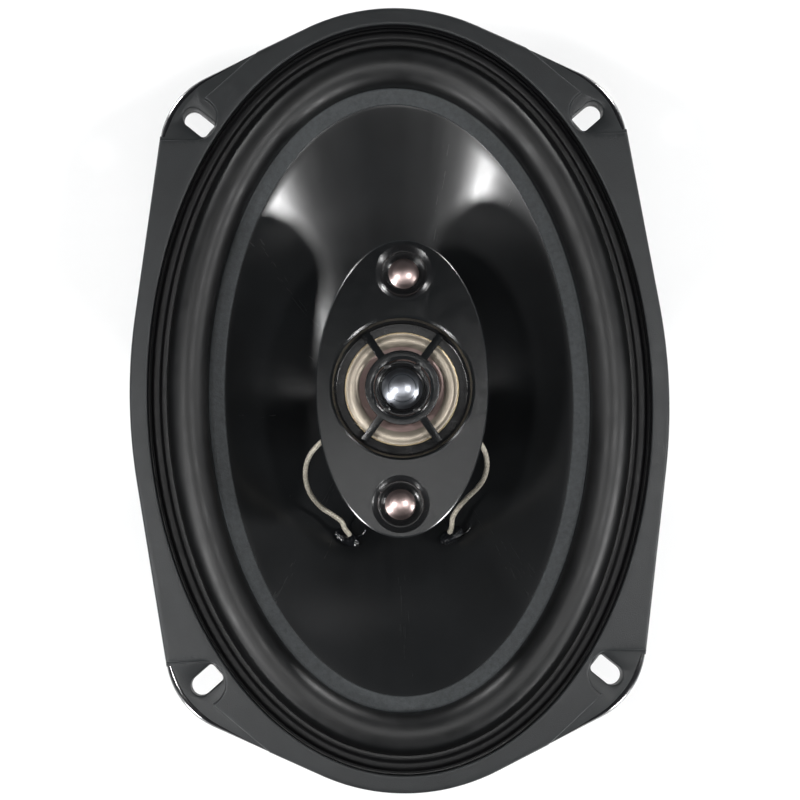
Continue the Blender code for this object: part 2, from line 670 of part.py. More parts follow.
def build_housing(pod):
    """Oval pod: an open-backed shell with three countersunk driver openings."""
    outer = [(20.5 * MM, 39.0 * MM, POD_BACK), (24.9 * MM, 43.6 * MM, 91.0 * MM),
             (POD_A, POD_B, POD_Z - 0.7 * MM), (POD_A - 0.5 * MM, POD_B - 0.5 * MM, POD_Z)]
    shell = loft_solid("bridge_housing", outer, housing_grey)
    shell.parent = pod
    inner = [(18.4 * MM, 36.9 * MM, POD_BACK - 1 * MM),
             (24.9 * MM - POD_WALL, 43.6 * MM - POD_WALL, 91.2 * MM),
             (POD_A - POD_WALL, POD_B - POD_WALL, POD_Z - POD_FACE)]
    cavity = loft_solid("pod_cavity", inner)
    cavity.parent = pod
    boolean(shell, cavity)
    collar = lathe("mid_collar", disc_section(22.6 * MM, MID_COLLAR_BOTTOM, POD_Z - 1 * MM))
    boolean(shell, collar, "UNION")
    above = POD_Z + 1 * MM
    funnel = [(0.0, above), (MID_RECESS + 0.5 * MM, above), (MID_RECESS, POD_Z),
              (MID_OPENING, MID_COLLAR_BOTTOM), (MID_OPENING, 95 * MM), (0.0, 95 * MM)]
    boolean(shell, lathe("mid_funnel", funnel))
    small = [(0.0, above), (SUPER_RECESS + 0.8 * MM, above), (SUPER_RECESS, POD_Z),
             (SUPER_OPENING, POD_Z - POD_FACE), (SUPER_OPENING, 97 * MM), (0.0, 97 * MM)]
    for side in (-1, 1):
        cutter = lathe(f"super_funnel_{side + 2}", small, steps=32, location=(0, side * SUPER_Y, 0))
        cutter.parent = pod
        boolean(shell, cutter)
    cover_bottom = POD_BACK + GAP
    cover = loft_solid("bridge_back_cover", [(18.3 * MM, 36.8 * MM, cover_bottom),
                                             (18.3 * MM, 36.8 * MM, cover_bottom + 1.6 * MM)],
                       gloss_black, steps=40)
    cover.parent = pod


def build_guard(pod):
    guard = lathe("guard_grille", tube_section(GUARD_RING_INNER, GUARD_RING_OUTER, GUARD_BOTTOM,
                                               GUARD_TOP), housing_grey, closed=True)
    guard.parent = pod
    start = (GUARD_RING_INNER + GUARD_RING_OUTER) / 2 + 0.6 * MM
    length = GUARD_ARM_REACH - start
    height = GUARD_TOP - GUARD_BOTTOM
    for number in range(4):
        upper = 1 if number < 2 else -1
        side = 1 if number % 2 == 0 else -1
        angle = upper * (math.pi / 2 - side * GUARD_ARM_ANGLE)
        middle = start + length / 2
        arm = box(f"guard_arm_{number}", (length, GUARD_ARM_WIDTH, height - 0.1 * MM),
                  (middle * math.cos(angle), middle * math.sin(angle), (GUARD_TOP + GUARD_BOTTOM) / 2),
                  parent=pod, rotation=(0, 0, angle))
        boolean(guard, arm, "UNION")


def build_midrange():
    frame_profile = [
        (20.4, 96.5), (21.5, 96.5), (21.5, 91.5), (16.2, 87.3), (9.9, 87.3), (9.9, 88.3),
        (15.4, 88.3), (16.0, 88.9), (16.0, 93.4), (19.6, 93.4), (20.4, 94.2),
    ]
    lathe("midrange_frame", scaled(frame_profile), gloss_black, steps=30, closed=True)
    magnet_profile = [(0.0, 89.3), (8.6, 89.3), (8.6, 87.0), (13.0, 87.0), (13.0, 84.2), (0.0, 84.2)]
    lathe("midrange_magnet", scaled(magnet_profile), zinc_steel, steps=28)
    front = [(0.0, 90.4), (8.0, 90.6), (12.6, 93.7), (13.5, 94.8), (14.5, 95.1), (15.7, 94.5),
             (17.0, 94.3)]
    back = [(17.0, 93.9), (15.4, 94.2), (14.4, 94.7), (13.6, 94.3), (12.8, 93.4), (8.2, 90.2),
            (0.0, 90.0)]
    lathe("midrange_diaphragm", scaled(front + back), champagne, steps=28)
    lathe("midrange_voice_coil", tube_section(8.9 * MM, 9.4 * MM, 87.6 * MM, 89.8 * MM), copper,
          steps=32, closed=True)


def scaled(profile_mm):
    """Profile given in millimetres, in metres."""
    return [(r * MM, z * MM) for r, z in profile_mm]


def dome_profile(radius, base, rise, flange, wall):
    """Section of a thin spherical dome with a flat flange, from the axis out and back."""
    steps = 4
    ball = (radius ** 2 + rise ** 2) / (2 * rise)
    centre = base + rise - ball
    reach = math.asin(radius / ball) if rise < radius else math.pi / 2
    turns = [reach * k / steps for k in range(steps + 1)]
    front = [(ball * math.sin(t), centre + ball * math.cos(t)) for t in turns]
    back = [((ball - wall) * math.sin(t), centre + (ball - wall) * math.cos(t))
            for t in reversed(turns[:-1])]
    rim = [(radius + flange, base), (radius + flange, base - wall), (radius - wall, base - wall)]
    return front + rim + back


def build_small_tweeter(pod, suffix, y, size, names):
    """Cup, magnet, dome and coil of one dome tweeter on the pod's long axis."""
    radius, rise, cup_outer, floor, cup_top, coil = size
    cup_name, magnet_name, dome_name, coil_name = names
    inner = cup_outer - 0.7 * MM
    cup = [(0.0, floor + 0.8 * MM), (inner, floor + 0.8 * MM), (inner, cup_top),
           (cup_outer, cup_top), (cup_outer, floor), (0.0, floor)]
    magnet_bottom = floor + 0.8 * MM + GAP
    magnet = disc_section(coil - 0.5 * MM, magnet_bottom, magnet_bottom + 1.9 * MM)
    base = cup_top - 1.6 * MM
    dome = dome_profile(radius, base, rise, 0.5 * MM, 0.3 * MM)
    winding = tube_section(coil, coil + 0.4 * MM, base - 2.3 * MM, base - 0.6 * MM)
    for name, profile, material, closed in (
            (cup_name, cup, gloss_black, False), (magnet_name, magnet, zinc_steel, False),
            (dome_name, dome, champagne, False), (coil_name, winding, copper, True)):
        obj = lathe(name + suffix, profile, material, SMALL_STEPS, closed, (0.0, y, 0.0))
        obj.parent = pod


def build_tweeters(pod):
    centre = (CENTRE_DOME_RADIUS, CENTRE_DOME_RISE, 8.2 * MM, 91.6 * MM, 97.2 * MM, 5.4 * MM)
    build_small_tweeter(pod, "", 0.0, centre,
                        ("tweeter_cup", "tweeter_magnet", "tweeter_dome", "tweeter_voice_coil"))
    outer = (SUPER_DOME_RADIUS, SUPER_DOME_RISE, 7.0 * MM, 91.0 * MM, POD_Z - POD_FACE - GAP,
             4.0 * MM)
    names = ("super_tweeter_cup", "super_tweeter_magnet", "super_tweeter_dome",
             "super_tweeter_voice_coil")
    for suffix, y in (("_top", SUPER_Y), ("_bottom", -SUPER_Y)):
        build_small_tweeter(pod, suffix, y, outer, names)


def build_capacitors(pod):
    """Crossover capacitors glued inside the pod, beside the midrange frame."""
    radius, length = 2.9 * MM, 15.0 * MM
    cover_top = POD_BACK + GAP + 1.6 * MM
    for number, side in ((1, 1), (2, -1)):
        bm = bmesh.new()
        bmesh.ops.create_cone(bm, cap_ends=True, segments=20, radius1=radius, radius2=radius,
                              depth=length)
        can = finish_mesh(f"crossover_capacitor_{number}", bm, sleeve_blue)
        can.location = (0.0, side * 28.0 * MM, cover_top + GAP + radius)
        can.rotation_euler = (0.0, math.pi / 2, 0.0)
        can.parent = pod


def build_leads():
    for word in EYELETS:
        front = [tuple(c * MM for c in point) for point in FRONT_LEAD_ROUTES_MM[word]]
        lead(f"front_lead_{word}", front + [tuple(glue_top(word))], tinsel)
        rear = [tuple(c * MM for c in point) for point in REAR_LEAD_ROUTES_MM[word]]
        lead(f"rear_lead_{word}", rear, tinsel)


clear_scene()
speaker = make_collection("coaxial_speaker")
cutters = make_collection("cutters")

paint_black = make_material("paint_black", (0.075, 0.083, 0.09), 0.5)
rubber_black = make_material("rubber_black", (0.03, 0.032, 0.036), 0.55)
cone_black = make_material("cone_black", (0.03, 0.032, 0.036), 0.3)
housing_grey = make_material("housing_grey", (0.08, 0.088, 0.096), 0.45)
gloss_black = make_material("gloss_black", (0.015, 0.015, 0.016), 0.2)
zinc_steel = make_material("zinc_steel", (0.55, 0.55, 0.53), 0.35, 1.0)
ferrite = make_material("ferrite", (0.05, 0.05, 0.052), 0.6)
champagne = make_material("champagne", (0.78, 0.66, 0.58), 0.25, 1.0)
kapton_amber = make_material("kapton_amber", (0.45, 0.2, 0.04), 0.3)
copper = make_material("copper", (0.72, 0.3, 0.15), 0.3, 1.0)
cloth_tan = make_material("cloth_tan", (0.55, 0.36, 0.16), 0.9)
glue_black = make_material("glue_black", (0.01, 0.01, 0.012), 0.12)
phenolic = make_material("phenolic", (0.28, 0.15, 0.07), 0.6)
tinned_brass = make_material("tinned_brass", (0.72, 0.68, 0.58), 0.3, 1.0)
tinsel = make_material("tinsel", (0.72, 0.68, 0.6), 0.45, 1.0)
sleeve_blue = make_material("sleeve_blue", (0.03, 0.06, 0.22), 0.35)

build_trim_ring()
basket_object = build_basket()
build_surround()
build_cone()
build_coil()
build_spider()
build_glue()
build_motor()
build_terminals(basket_object)
build_post()
pod_frame = make_pod_frame()
build_housing(pod_frame)
build_guard(pod_frame)
build_midrange()
build_tweeters(pod_frame)
build_capacitors(pod_frame)
build_leads()
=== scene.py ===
import math

import bmesh
import bpy
from mathutils import Matrix, Vector, noise


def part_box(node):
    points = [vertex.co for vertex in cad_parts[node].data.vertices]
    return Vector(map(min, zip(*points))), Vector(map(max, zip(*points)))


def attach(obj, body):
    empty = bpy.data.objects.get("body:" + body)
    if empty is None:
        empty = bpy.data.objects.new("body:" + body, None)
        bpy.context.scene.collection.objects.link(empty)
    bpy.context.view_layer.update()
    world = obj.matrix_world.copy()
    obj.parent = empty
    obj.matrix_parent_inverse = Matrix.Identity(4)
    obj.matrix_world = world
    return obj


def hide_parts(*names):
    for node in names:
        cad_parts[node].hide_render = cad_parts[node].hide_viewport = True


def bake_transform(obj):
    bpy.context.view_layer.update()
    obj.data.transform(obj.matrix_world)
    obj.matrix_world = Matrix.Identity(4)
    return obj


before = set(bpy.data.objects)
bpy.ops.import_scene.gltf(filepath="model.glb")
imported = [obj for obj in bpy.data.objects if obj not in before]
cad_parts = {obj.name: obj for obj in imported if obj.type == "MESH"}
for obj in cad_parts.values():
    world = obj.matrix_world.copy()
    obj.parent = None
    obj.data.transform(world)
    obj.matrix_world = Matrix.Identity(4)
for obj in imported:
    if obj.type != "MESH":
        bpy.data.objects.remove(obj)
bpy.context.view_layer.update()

MM = 0.001

# Heights taken from the frame
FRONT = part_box("trim_ring")[1].z / MM
RING_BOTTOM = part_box("trim_ring")[0].z / MM
POD_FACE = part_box("bridge_housing")[1].z / MM
POD_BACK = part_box("bridge_housing")[0].z / MM
MAGNET_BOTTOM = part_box("magnet")[0].z / MM
MAGNET_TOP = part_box("magnet")[1].z / MM
PLATE_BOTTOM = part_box("front_plate")[0].z / MM
PLATE_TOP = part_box("front_plate")[1].z / MM
SPIDER_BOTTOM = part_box("spider")[0].z / MM
SPIDER_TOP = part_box("spider")[1].z / MM

# Flange outline: corner points of a rounded octagon and the arc radius at each corner
SIDE_CORNER = 83.5
EAR_CORNER = (69.6, 92.75)
END_CORNER = 125.8
SIDE_ARC = 170.0
EAR_ARC = 25.0
END_ARC = 61.0
SLOT_CENTRE = (60.0, 84.8)
SLOT_LENGTH = 9.8
SLOT_WIDTH = 6.2
SLOT_ANGLE = math.radians(40.0)
PAD_RADIUS = 6.8
PAD_SHIFT = 1.0
PAD_FLOOR = FRONT - 1.0
STEEL = 1.2

# Nested ellipses: a ring at offset d has half-axes OPENING_A - d and OPENING_B - d
OPENING_A = 76.5
OPENING_B = 114.2
ROLL_OFFSET = 11.85
ROLL_RADIUS = 6.25
RUBBER = 0.8
LIP_OUTER = 18.1
LIP_INNER = 23.1

# Cone
NECK = 15.35
NECK_BOTTOM = 38.0
NECK_TOP = 41.5
CONE_EDGE = 73.4
CONE_WALL = 0.8

# Bridge, clamped slightly turned about the post
POD_TURN = math.radians(-2.2)
SUPER_Y = 34.3
GUARD_ANGLE = math.radians(35.0)
CROWN_DROP = 1.3
CROWN_FOOT = 97.2
EYELETS = {"left": (-17.3, -43.0), "right": (16.2, -43.0)}
BEAD_SIZE = (4.3, 2.4, 1.3)
LEAD_DIAMETER = 1.6
LEAD_SIDES = 20
FRONT_LEADS = {
    "left": [
        (-13.0, -8.0, 81.7), (-14.2, -8.4, 80.5), (-19.1, -10.6, 80.4), (-25.0, -14.7, 79.4),
        (-28.1, -18.4, 77.8), (-29.3, -22.5, 75.2), (-28.9, -26.9, 71.8), (-27.2, -30.4, 68.8),
        (-24.5, -33.4, 66.0), (-20.9, -35.8, 63.8), (-18.6, -37.6, 62.4), (-17.6, -39.8, 61.4),
    ],
    "right": [
        (13.0, -8.0, 81.7), (14.2, -8.6, 80.5), (19.0, -11.4, 80.4), (23.3, -14.8, 79.5),
        (25.4, -18.1, 77.9), (26.1, -21.9, 75.4), (25.3, -25.7, 72.6), (23.3, -28.6, 70.0),
        (20.6, -31.1, 67.6), (17.9, -34.0, 65.0), (16.0, -37.0, 62.8), (15.6, -39.8, 61.6),
    ],
}
REAR_LEADS = {
    "left": [
        (-11.0, -79.3, 50.6), (-11.3, -77.5, 53.0), (-12.2, -73.0, 54.6), (-13.8, -66.0, 53.6),
        (-15.3, -58.5, 51.2), (-16.6, -51.5, 49.6), (-17.3, -46.5, 49.8), (-17.3, -43.8, 53.6),
    ],
    "right": [
        (11.0, -79.3, 50.6), (11.3, -77.5, 53.0), (12.2, -73.0, 54.6), (13.4, -66.0, 53.6),
        (14.7, -58.5, 51.2), (15.8, -51.5, 49.6), (16.2, -46.5, 49.8), (16.2, -43.8, 53.6),
    ],
}

RING_COLUMNS = 640
OVAL_COLUMNS = 360
ROUND_COLUMNS = 144
SMALL_COLUMNS = 72


# --- outlines and profiles ---------------------------------------------------------------

def even_angles(count):
    return [2 * math.pi * i / count for i in range(count)]


def eased(points, reach, steps=4, closed=True):
    """Outline or profile with every corner rounded, its arcs starting at most reach away."""
    result = []
    count = len(points)
    for i, point in enumerate(points):
        corner = Vector(point)
        ends_here = not closed and i in (0, count - 1)
        before = Vector(points[i - 1]) - corner
        after = Vector(points[(i + 1) % count]) - corner
        step_back = 0.0 if ends_here or corner[0] < 1e-6 and len(point) == 2 else reach
        step_back = min(step_back, 0.45 * before.length, 0.45 * after.length)
        if step_back < 1e-4:
            result.append(tuple(corner))
            continue
        start = corner + before.normalized() * step_back
        end = corner + after.normalized() * step_back
        for k in range(steps + 1):
            t = k / steps
            result.append(tuple(start * (1 - t) ** 2 + corner * 2 * t * (1 - t) + end * t * t))
    return result


def arc(centre, radius, first, last, steps):
    """Points of an arc in the plane, both ends included, with angles in degrees."""
    angles = [math.radians(first + (last - first) * k / steps) for k in range(steps + 1)]
    return [(centre[0] + radius * math.cos(t), centre[1] + radius * math.sin(t)) for t in angles]


def flange_outline(inset=0.0):
    """The flange's rounded octagon, counter-clockwise from the +X side."""
    ear_x, ear_y = EAR_CORNER
    corners = [
        (SIDE_CORNER, 0.0), (ear_x, ear_y), (0.0, END_CORNER), (-ear_x, ear_y),
        (-SIDE_CORNER, 0.0), (-ear_x, -ear_y), (0.0, -END_CORNER), (ear_x, -ear_y),
    ]
    points = []
    for i, radius in enumerate([SIDE_ARC, EAR_ARC, END_ARC, EAR_ARC] * 2):
        corner = Vector(corners[i])
        before = (Vector(corners[i - 1]) - corner).normalized()
        after = (Vector(corners[(i + 1) % 8]) - corner).normalized()
        half = before.angle(after) / 2
        centre = corner + (before + after).normalized() * radius / math.sin(half)
        middle = math.degrees(math.atan2(corner.y - centre.y, corner.x - centre.x))
        sweep = 90.0 - math.degrees(half)
        points += arc(centre, radius - inset, middle - sweep, middle + sweep, 40)
    return points


def resample(points, count):
    """Closed outline as evenly spaced points."""
    ring = points + [points[0]]
    lengths = [math.dist(p, q) for p, q in zip(ring, ring[1:])]
    step = sum(lengths) / count
    result = []
    k, walked = 0, 0.0
    for i in range(count):
        target = i * step
        while walked + lengths[k] < target:
            walked += lengths[k]
            k += 1
        t = (target - walked) / lengths[k]
        result.append(tuple(p + (q - p) * t for p, q in zip(ring[k], ring[k + 1])))
    return result


def shifted(points, distance):
    """Counter-clockwise outline moved outward by a distance."""
    result = []
    count = len(points)
    for i, (x, y) in enumerate(points):
        before = (Vector((x, y)) - Vector(points[i - 1])).normalized()
        after = (Vector(points[(i + 1) % count]) - Vector((x, y))).normalized()
        normal = Vector((before.y + after.y, -before.x - after.x))
        scale = distance / max(0.3, 0.5 * (1 + before.dot(after)))
        result.append((x + normal.x * scale / 2, y + normal.y * scale / 2))
    return result


def counter_clockwise(points):
    area = sum(p[0] * q[1] - q[0] * p[1] for p, q in zip(points, points[1:] + points[:1]))
    return points if area > 0 else points[::-1]


def rounded_rectangle(width, height, radius):
    w, h = width / 2 - radius, height / 2 - radius
    points = []
    for centre, first in (((w, -h), -90), ((w, h), 0), ((-w, h), 90), ((-w, -h), 180)):
        points += arc(centre, radius, first, first + 90, 6)
    return points


def quadrants():
    """Sign pairs of the four corners, counter-clockwise from +X +Y."""
    return [(1, 1), (-1, 1), (-1, -1), (1, -1)]


def slot_outline(signs, grow=0.0):
    """Mounting slot of one corner: round at its outer end and squarer at its inner end."""
    half_length, half_width = SLOT_LENGTH / 2 + grow, SLOT_WIDTH / 2 + grow
    flat = half_width * 0.45
    points = arc((half_length - half_width, 0), half_width, -90, 90, 24)
    points += arc((-half_length + flat, half_width - flat), flat, 90, 180, 12)
    points += arc((-half_length + flat, flat - half_width), flat, 180, 270, 12)
    turn = Matrix.Rotation(SLOT_ANGLE, 2)
    placed = [turn @ Vector(p) + Vector(SLOT_CENTRE) for p in points]
    return counter_clockwise([(signs[0] * p.x, signs[1] * p.y) for p in placed])


def pad_outline(signs):
    """Recess round a slot: an arc on its inner side, open to the flange's edge."""
    centre = (SLOT_CENTRE[0] + PAD_SHIFT * math.cos(SLOT_ANGLE),
              SLOT_CENTRE[1] + PAD_SHIFT * math.sin(SLOT_ANGLE))
    points = [(90.0, centre[1] - PAD_RADIUS + 0.6)]
    points += arc(centre, PAD_RADIUS, -90, -245, 40)
    points += [(40.0, 107.2), (44.0, 113.0), (90.0, 113.0)]
    return counter_clockwise([(signs[0] * x, signs[1] * y) for x, y in points])


# --- meshes --------------------------------------------------------------------------------

def join_loops(bm, loops, closed):
    """Add faces between neighbouring loops; a loop of one vertex is a point on the axis."""
    pairs = list(zip(loops, loops[1:]))
    if closed:
        pairs.append((loops[-1], loops[0]))
    for lower, upper in pairs:
        count = max(len(lower), len(upper))
        for i in range(count if count > 1 else 0):
            j = (i + 1) % count
            corners = [lower[i], lower[j]] if len(lower) > 1 else [lower[0]]
            corners += [upper[j], upper[i]] if len(upper) > 1 else [upper[0]]
            bm.faces.new(corners)


def new_object(name, bm, *materials, sharp=40.0):
    """Turn a bmesh in millimetres into an object in metres."""
    bmesh.ops.scale(bm, vec=(MM, MM, MM), verts=bm.verts)
    bmesh.ops.recalc_face_normals(bm, faces=bm.faces)
    mesh = bpy.data.meshes.new(name)
    bm.to_mesh(mesh)
    bm.free()
    for material in materials:
        mesh.materials.append(material)
    shade(mesh, sharp)
    obj = bpy.data.objects.new(name, mesh)
    bpy.context.scene.collection.objects.link(obj)
    return obj


def shade(mesh, sharp=40.0):
    mesh.shade_smooth()
    mesh.set_sharp_from_angle(angle=math.radians(sharp))


def add_turned(bm, profile, columns, centre=(0.0, 0.0), closed=True):
    """Turn an (r, z) profile about a vertical axis."""
    loops = []
    for r, z in profile:
        if r < 1e-6:
            loops.append([bm.verts.new((centre[0], centre[1], z))])
        else:
            loops.append([bm.verts.new((centre[0] + r * math.cos(t), centre[1] + r * math.sin(t), z))
                          for t in even_angles(columns)])
    join_loops(bm, loops, closed)


def turned(name, profile, *materials, columns=ROUND_COLUMNS, centre=(0.0, 0.0)):
    bm = bmesh.new()
    add_turned(bm, profile, columns, centre)
    return new_object(name, bm, *materials)


def oval(name, sections, *materials, caps=False, sharp=40.0):
    """Skin of (half-axis a, half-axis b, z) ellipses, closed in a ring or by end caps."""
    bm = bmesh.new()
    angles = even_angles(OVAL_COLUMNS)
    loops = [[bm.verts.new((a * math.cos(t), b * math.sin(t), z)) for t in angles]
             for a, b, z in sections]
    if caps:
        join_solid(bm, loops)
    else:
        join_loops(bm, loops, closed=True)
    return new_object(name, bm, *materials, sharp=sharp)


def join_solid(bm, loops):
    """Skin open loops and close both ends."""
    join_loops(bm, loops, closed=False)
    bm.faces.new(loops[0][::-1])
    bm.faces.new(loops[-1])


def add_stack(bm, outline, levels):
    """Solid through shifted copies of an outline, one for each (shift, z) level."""
    join_solid(bm, [[bm.verts.new((x, y, z)) for x, y in shifted(outline, shift)]
                    for shift, z in levels])


def stack(name, outline, levels, *materials):
    bm = bmesh.new()
    add_stack(bm, outline, levels)
    return new_object(name, bm, *materials)


def settle(obj):
    """Apply an object's modifiers to its mesh."""
    bpy.context.view_layer.update()
    evaluated = obj.evaluated_get(bpy.context.evaluated_depsgraph_get())
    mesh = bpy.data.meshes.new_from_object(evaluated)
    obj.modifiers.clear()
    old, obj.data = obj.data, mesh
    bpy.data.meshes.remove(old)
    mesh.name = obj.name
    return obj


def combine(obj, other, operation="DIFFERENCE", use_self=False):
    modifier = obj.modifiers.new("combine", "BOOLEAN")
    modifier.operation = operation
    modifier.object = other
    modifier.solver = "EXACT"
    modifier.use_self = use_self
    modifier.material_mode = "TRANSFER"
    settle(obj)
    bpy.data.objects.remove(other, do_unlink=True)
    shade(obj.data)
    return obj


def bevelled(obj, width, angle=35.0):
    modifier = obj.modifiers.new("bevel", "BEVEL")
    modifier.width = width * MM
    modifier.segments = 2
    modifier.limit_method = "ANGLE"
    modifier.angle_limit = math.radians(angle)
    modifier.harden_normals = False
    settle(obj)
    shade(obj.data)
    return obj


def add_block(bm, size, radius, angle, z):
    """Block of a size, pointing away from the axis at a radius, an angle and a height."""
    made = bmesh.ops.create_cube(bm, size=1.0)["verts"]
    bmesh.ops.scale(bm, vec=size, verts=made)
    place = Matrix.Translation((radius * math.cos(angle), radius * math.sin(angle), z))
    bmesh.ops.transform(bm, matrix=place @ Matrix.Rotation(angle, 4, "Z"), verts=made)


def moved(obj, matrix):
    """Move an object's mesh by a matrix whose offset is in metres."""
    obj.data.transform(matrix)
    return obj


def dress(obj, body, slot_name, *nodes):
    """Make a finished piece ride on a body, and stand for CAD nodes."""
    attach(obj, body)
    if nodes:
        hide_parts(*nodes)
    return obj


def bend(obj, node):
    """Bake a soft piece's placement into its mesh, and hide the CAD node it stands for."""
    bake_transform(obj)
    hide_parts(node)


def smooth_step(value, low, high):
    t = min(1.0, max(0.0, (value - low) / (high - low)))
    return t * t * (3 - 2 * t)


# --- materials -----------------------------------------------------------------------------

def add_node(tree, kind, inputs=None, **settings):
    node = tree.nodes.new("ShaderNode" + kind)
    for key, value in settings.items():
        setattr(node, key, value)
    for key, value in (inputs or {}).items():
        if isinstance(value, bpy.types.NodeSocket):
            tree.links.new(value, node.inputs[key])
        else:
            node.inputs[key].default_value = value
    return node


def start_material(name):
    material = bpy.data.materials.new(name)
    material.use_nodes = True
    return material, material.node_tree, material.node_tree.nodes["Principled BSDF"]


def millimetres(tree, stretch=(1.0, 1.0, 1.0)):
    """Object coordinates in millimetres, divided by a stretch along each axis."""
    coordinates = add_node(tree, "TexCoord")
    scale = [1 / (MM * s) for s in stretch]
    return add_node(tree, "VectorMath", {0: coordinates.outputs["Object"], 1: scale},
                    operation="MULTIPLY").outputs[0]


def noise_value(tree, vector, size, detail=3.0, low=0.0, high=1.0):
    """Noise of a feature size in millimetres, mapped from its usual range to low .. high."""
    texture = add_node(tree, "TexNoise", {"Vector": vector, "Scale": 1 / size, "Detail": detail,
                                          "Roughness": 0.55})
    return add_node(tree, "MapRange", {"Value": texture.outputs["Fac"], "From Min": 0.3,
                                       "From Max": 0.7, "To Min": low, "To Max": high}).outputs[0]


def mix_colour(tree, factor, first, second):
    node = add_node(tree, "Mix", data_type="RGBA")
    for key, value in ((0, factor), (6, first), (7, second)):
        if isinstance(value, bpy.types.NodeSocket):
            tree.links.new(value, node.inputs[key])
        else:
            node.inputs[key].default_value = value if key == 0 else (*value[:3], 1.0)
    return node.outputs[2]


def arithmetic(tree, operation, first, second):
    return add_node(tree, "Math", {0: first, 1: second}, operation=operation).outputs[0]


def shade_of(colour, factor):
    return tuple(min(1.0, c * factor) for c in colour)


def finish_material(tree, shader, colour, roughness, height, depth):
    """Link colour, roughness and a relief of a depth in millimetres to the shader."""
    tree.links.new(colour, shader.inputs["Base Color"])
    tree.links.new(roughness, shader.inputs["Roughness"])
    bump = add_node(tree, "Bump", {"Height": height, "Distance": depth * MM})
    tree.links.new(bump.outputs[0], shader.inputs["Normal"])


def edge_wear(tree, amount):
    """Factor that grows on convex edges, broken up by noise."""
    geometry = add_node(tree, "NewGeometry")
    edge = add_node(tree, "MapRange", {"Value": geometry.outputs["Pointiness"], "From Min": 0.53,
                                       "From Max": 0.62, "To Max": amount})
    patches = noise_value(tree, millimetres(tree), 2.5, low=0.2, high=1.0)
    return arithmetic(tree, "MULTIPLY", edge.outputs[0], patches)


def surface(name, colour, roughness, metallic=0.0, specular=0.5, coat=0.0, coat_roughness=0.1,
            mottle=(14.0, 0.12), rough_shift=0.06, grain=(0.5, 0.02), stretch=(1.0, 1.0, 1.0),
            wear=0.0, second=None):
    """Solid material with cloudy colour, uneven roughness, a fine grain and worn edges."""
    material, tree, shader = start_material(name)
    vector = millimetres(tree)
    cloud = noise_value(tree, vector, mottle[0], detail=4.0)
    darker = shade_of(colour, 1 - mottle[1])
    lighter = shade_of(second or colour, 1 + mottle[1])
    base = mix_colour(tree, cloud, darker, lighter)
    if wear:
        base = mix_colour(tree, edge_wear(tree, wear), base, shade_of(colour, 2.2))
    rough = noise_value(tree, vector, mottle[0] * 0.4, low=roughness - rough_shift,
                        high=roughness + rough_shift)
    fine = noise_value(tree, millimetres(tree, stretch), grain[0], detail=4.0)
    finish_material(tree, shader, base, rough, fine, grain[1])
    shader.inputs["Metallic"].default_value = metallic
    shader.inputs["Specular IOR Level"].default_value = specular
    shader.inputs["Coat Weight"].default_value = coat
    shader.inputs["Coat Roughness"].default_value = coat_roughness
    return material


def cone_material():
    """Glossy black polypropylene, streaked along the cone's own straight lines."""
    material, tree, shader = start_material("cone_polypropylene")
    vector = millimetres(tree)
    split = add_node(tree, "SeparateXYZ", {0: vector})
    spans = {}
    for axis, reach in (("X", OPENING_A - LIP_INNER), ("Y", OPENING_B - LIP_INNER)):
        half_axis = add_node(tree, "MapRange", {
            "Value": split.outputs["Z"], "From Min": NECK_TOP, "From Max": CONE_EDGE,
            "To Min": NECK, "To Max": reach}).outputs[0]
        spans[axis] = arithmetic(tree, "DIVIDE", split.outputs[axis], half_axis)
    height = arithmetic(tree, "MULTIPLY", split.outputs["Z"], 0.004)
    polar = add_node(tree, "CombineXYZ", {"X": spans["X"], "Y": spans["Y"], "Z": height}).outputs[0]
    streak = noise_value(tree, polar, 0.012)
    broad = noise_value(tree, polar, 0.16, detail=2.0)
    cloud = noise_value(tree, vector, 22.0, detail=4.0)
    colour = mix_colour(tree, cloud, (0.0045, 0.005, 0.0055), (0.008, 0.009, 0.010))
    uneven = arithmetic(tree, "ADD", arithmetic(tree, "MULTIPLY", streak, 0.035),
                        arithmetic(tree, "MULTIPLY", broad, 0.05))
    skin = noise_value(tree, vector, 1.8)
    relief = arithmetic(tree, "ADD", arithmetic(tree, "MULTIPLY", streak, 0.25), skin)
    finish_material(tree, shader, colour, arithmetic(tree, "ADD", uneven, 0.2), relief, 0.002)
    tangent = add_node(tree, "Tangent", direction_type="RADIAL", axis="Z")
    tree.links.new(tangent.outputs[0], shader.inputs["Tangent"])
    shader.inputs["Anisotropic"].default_value = 0.35
    shader.inputs["Anisotropic Rotation"].default_value = 0.25
    shader.inputs["Specular IOR Level"].default_value = 0.6
    shader.inputs["Coat Weight"].default_value = 0.4
    shader.inputs["Coat Roughness"].default_value = 0.45
    return material


def spun_metal(name, colour, roughness, wave=0.35, metallic=1.0, centre=(0.0, 0.0)):
    """Turned or spun part with fine circular marks about its axis."""
    material, tree, shader = start_material(name)
    vector = millimetres(tree)
    split = add_node(tree, "SeparateXYZ", {0: vector})
    flat = add_node(tree, "CombineXYZ", {
        "X": arithmetic(tree, "SUBTRACT", split.outputs["X"], centre[0]),
        "Y": arithmetic(tree, "SUBTRACT", split.outputs["Y"], centre[1])}).outputs[0]
    radius = add_node(tree, "VectorMath", {0: flat}, operation="LENGTH").outputs["Value"]
    rings = add_node(tree, "CombineXYZ", {"X": radius, "Z": split.outputs["Z"]}).outputs[0]
    marks = noise_value(tree, rings, wave)
    cloud = noise_value(tree, vector, 6.0, detail=4.0)
    clouded = mix_colour(tree, cloud, shade_of(colour, 0.82), shade_of(colour, 1.1))
    uneven = arithmetic(tree, "ADD", arithmetic(tree, "MULTIPLY", marks, 0.14), roughness - 0.07)
    finish_material(tree, shader, clouded, uneven, marks, 0.012)
    shader.inputs["Metallic"].default_value = metallic
    return material


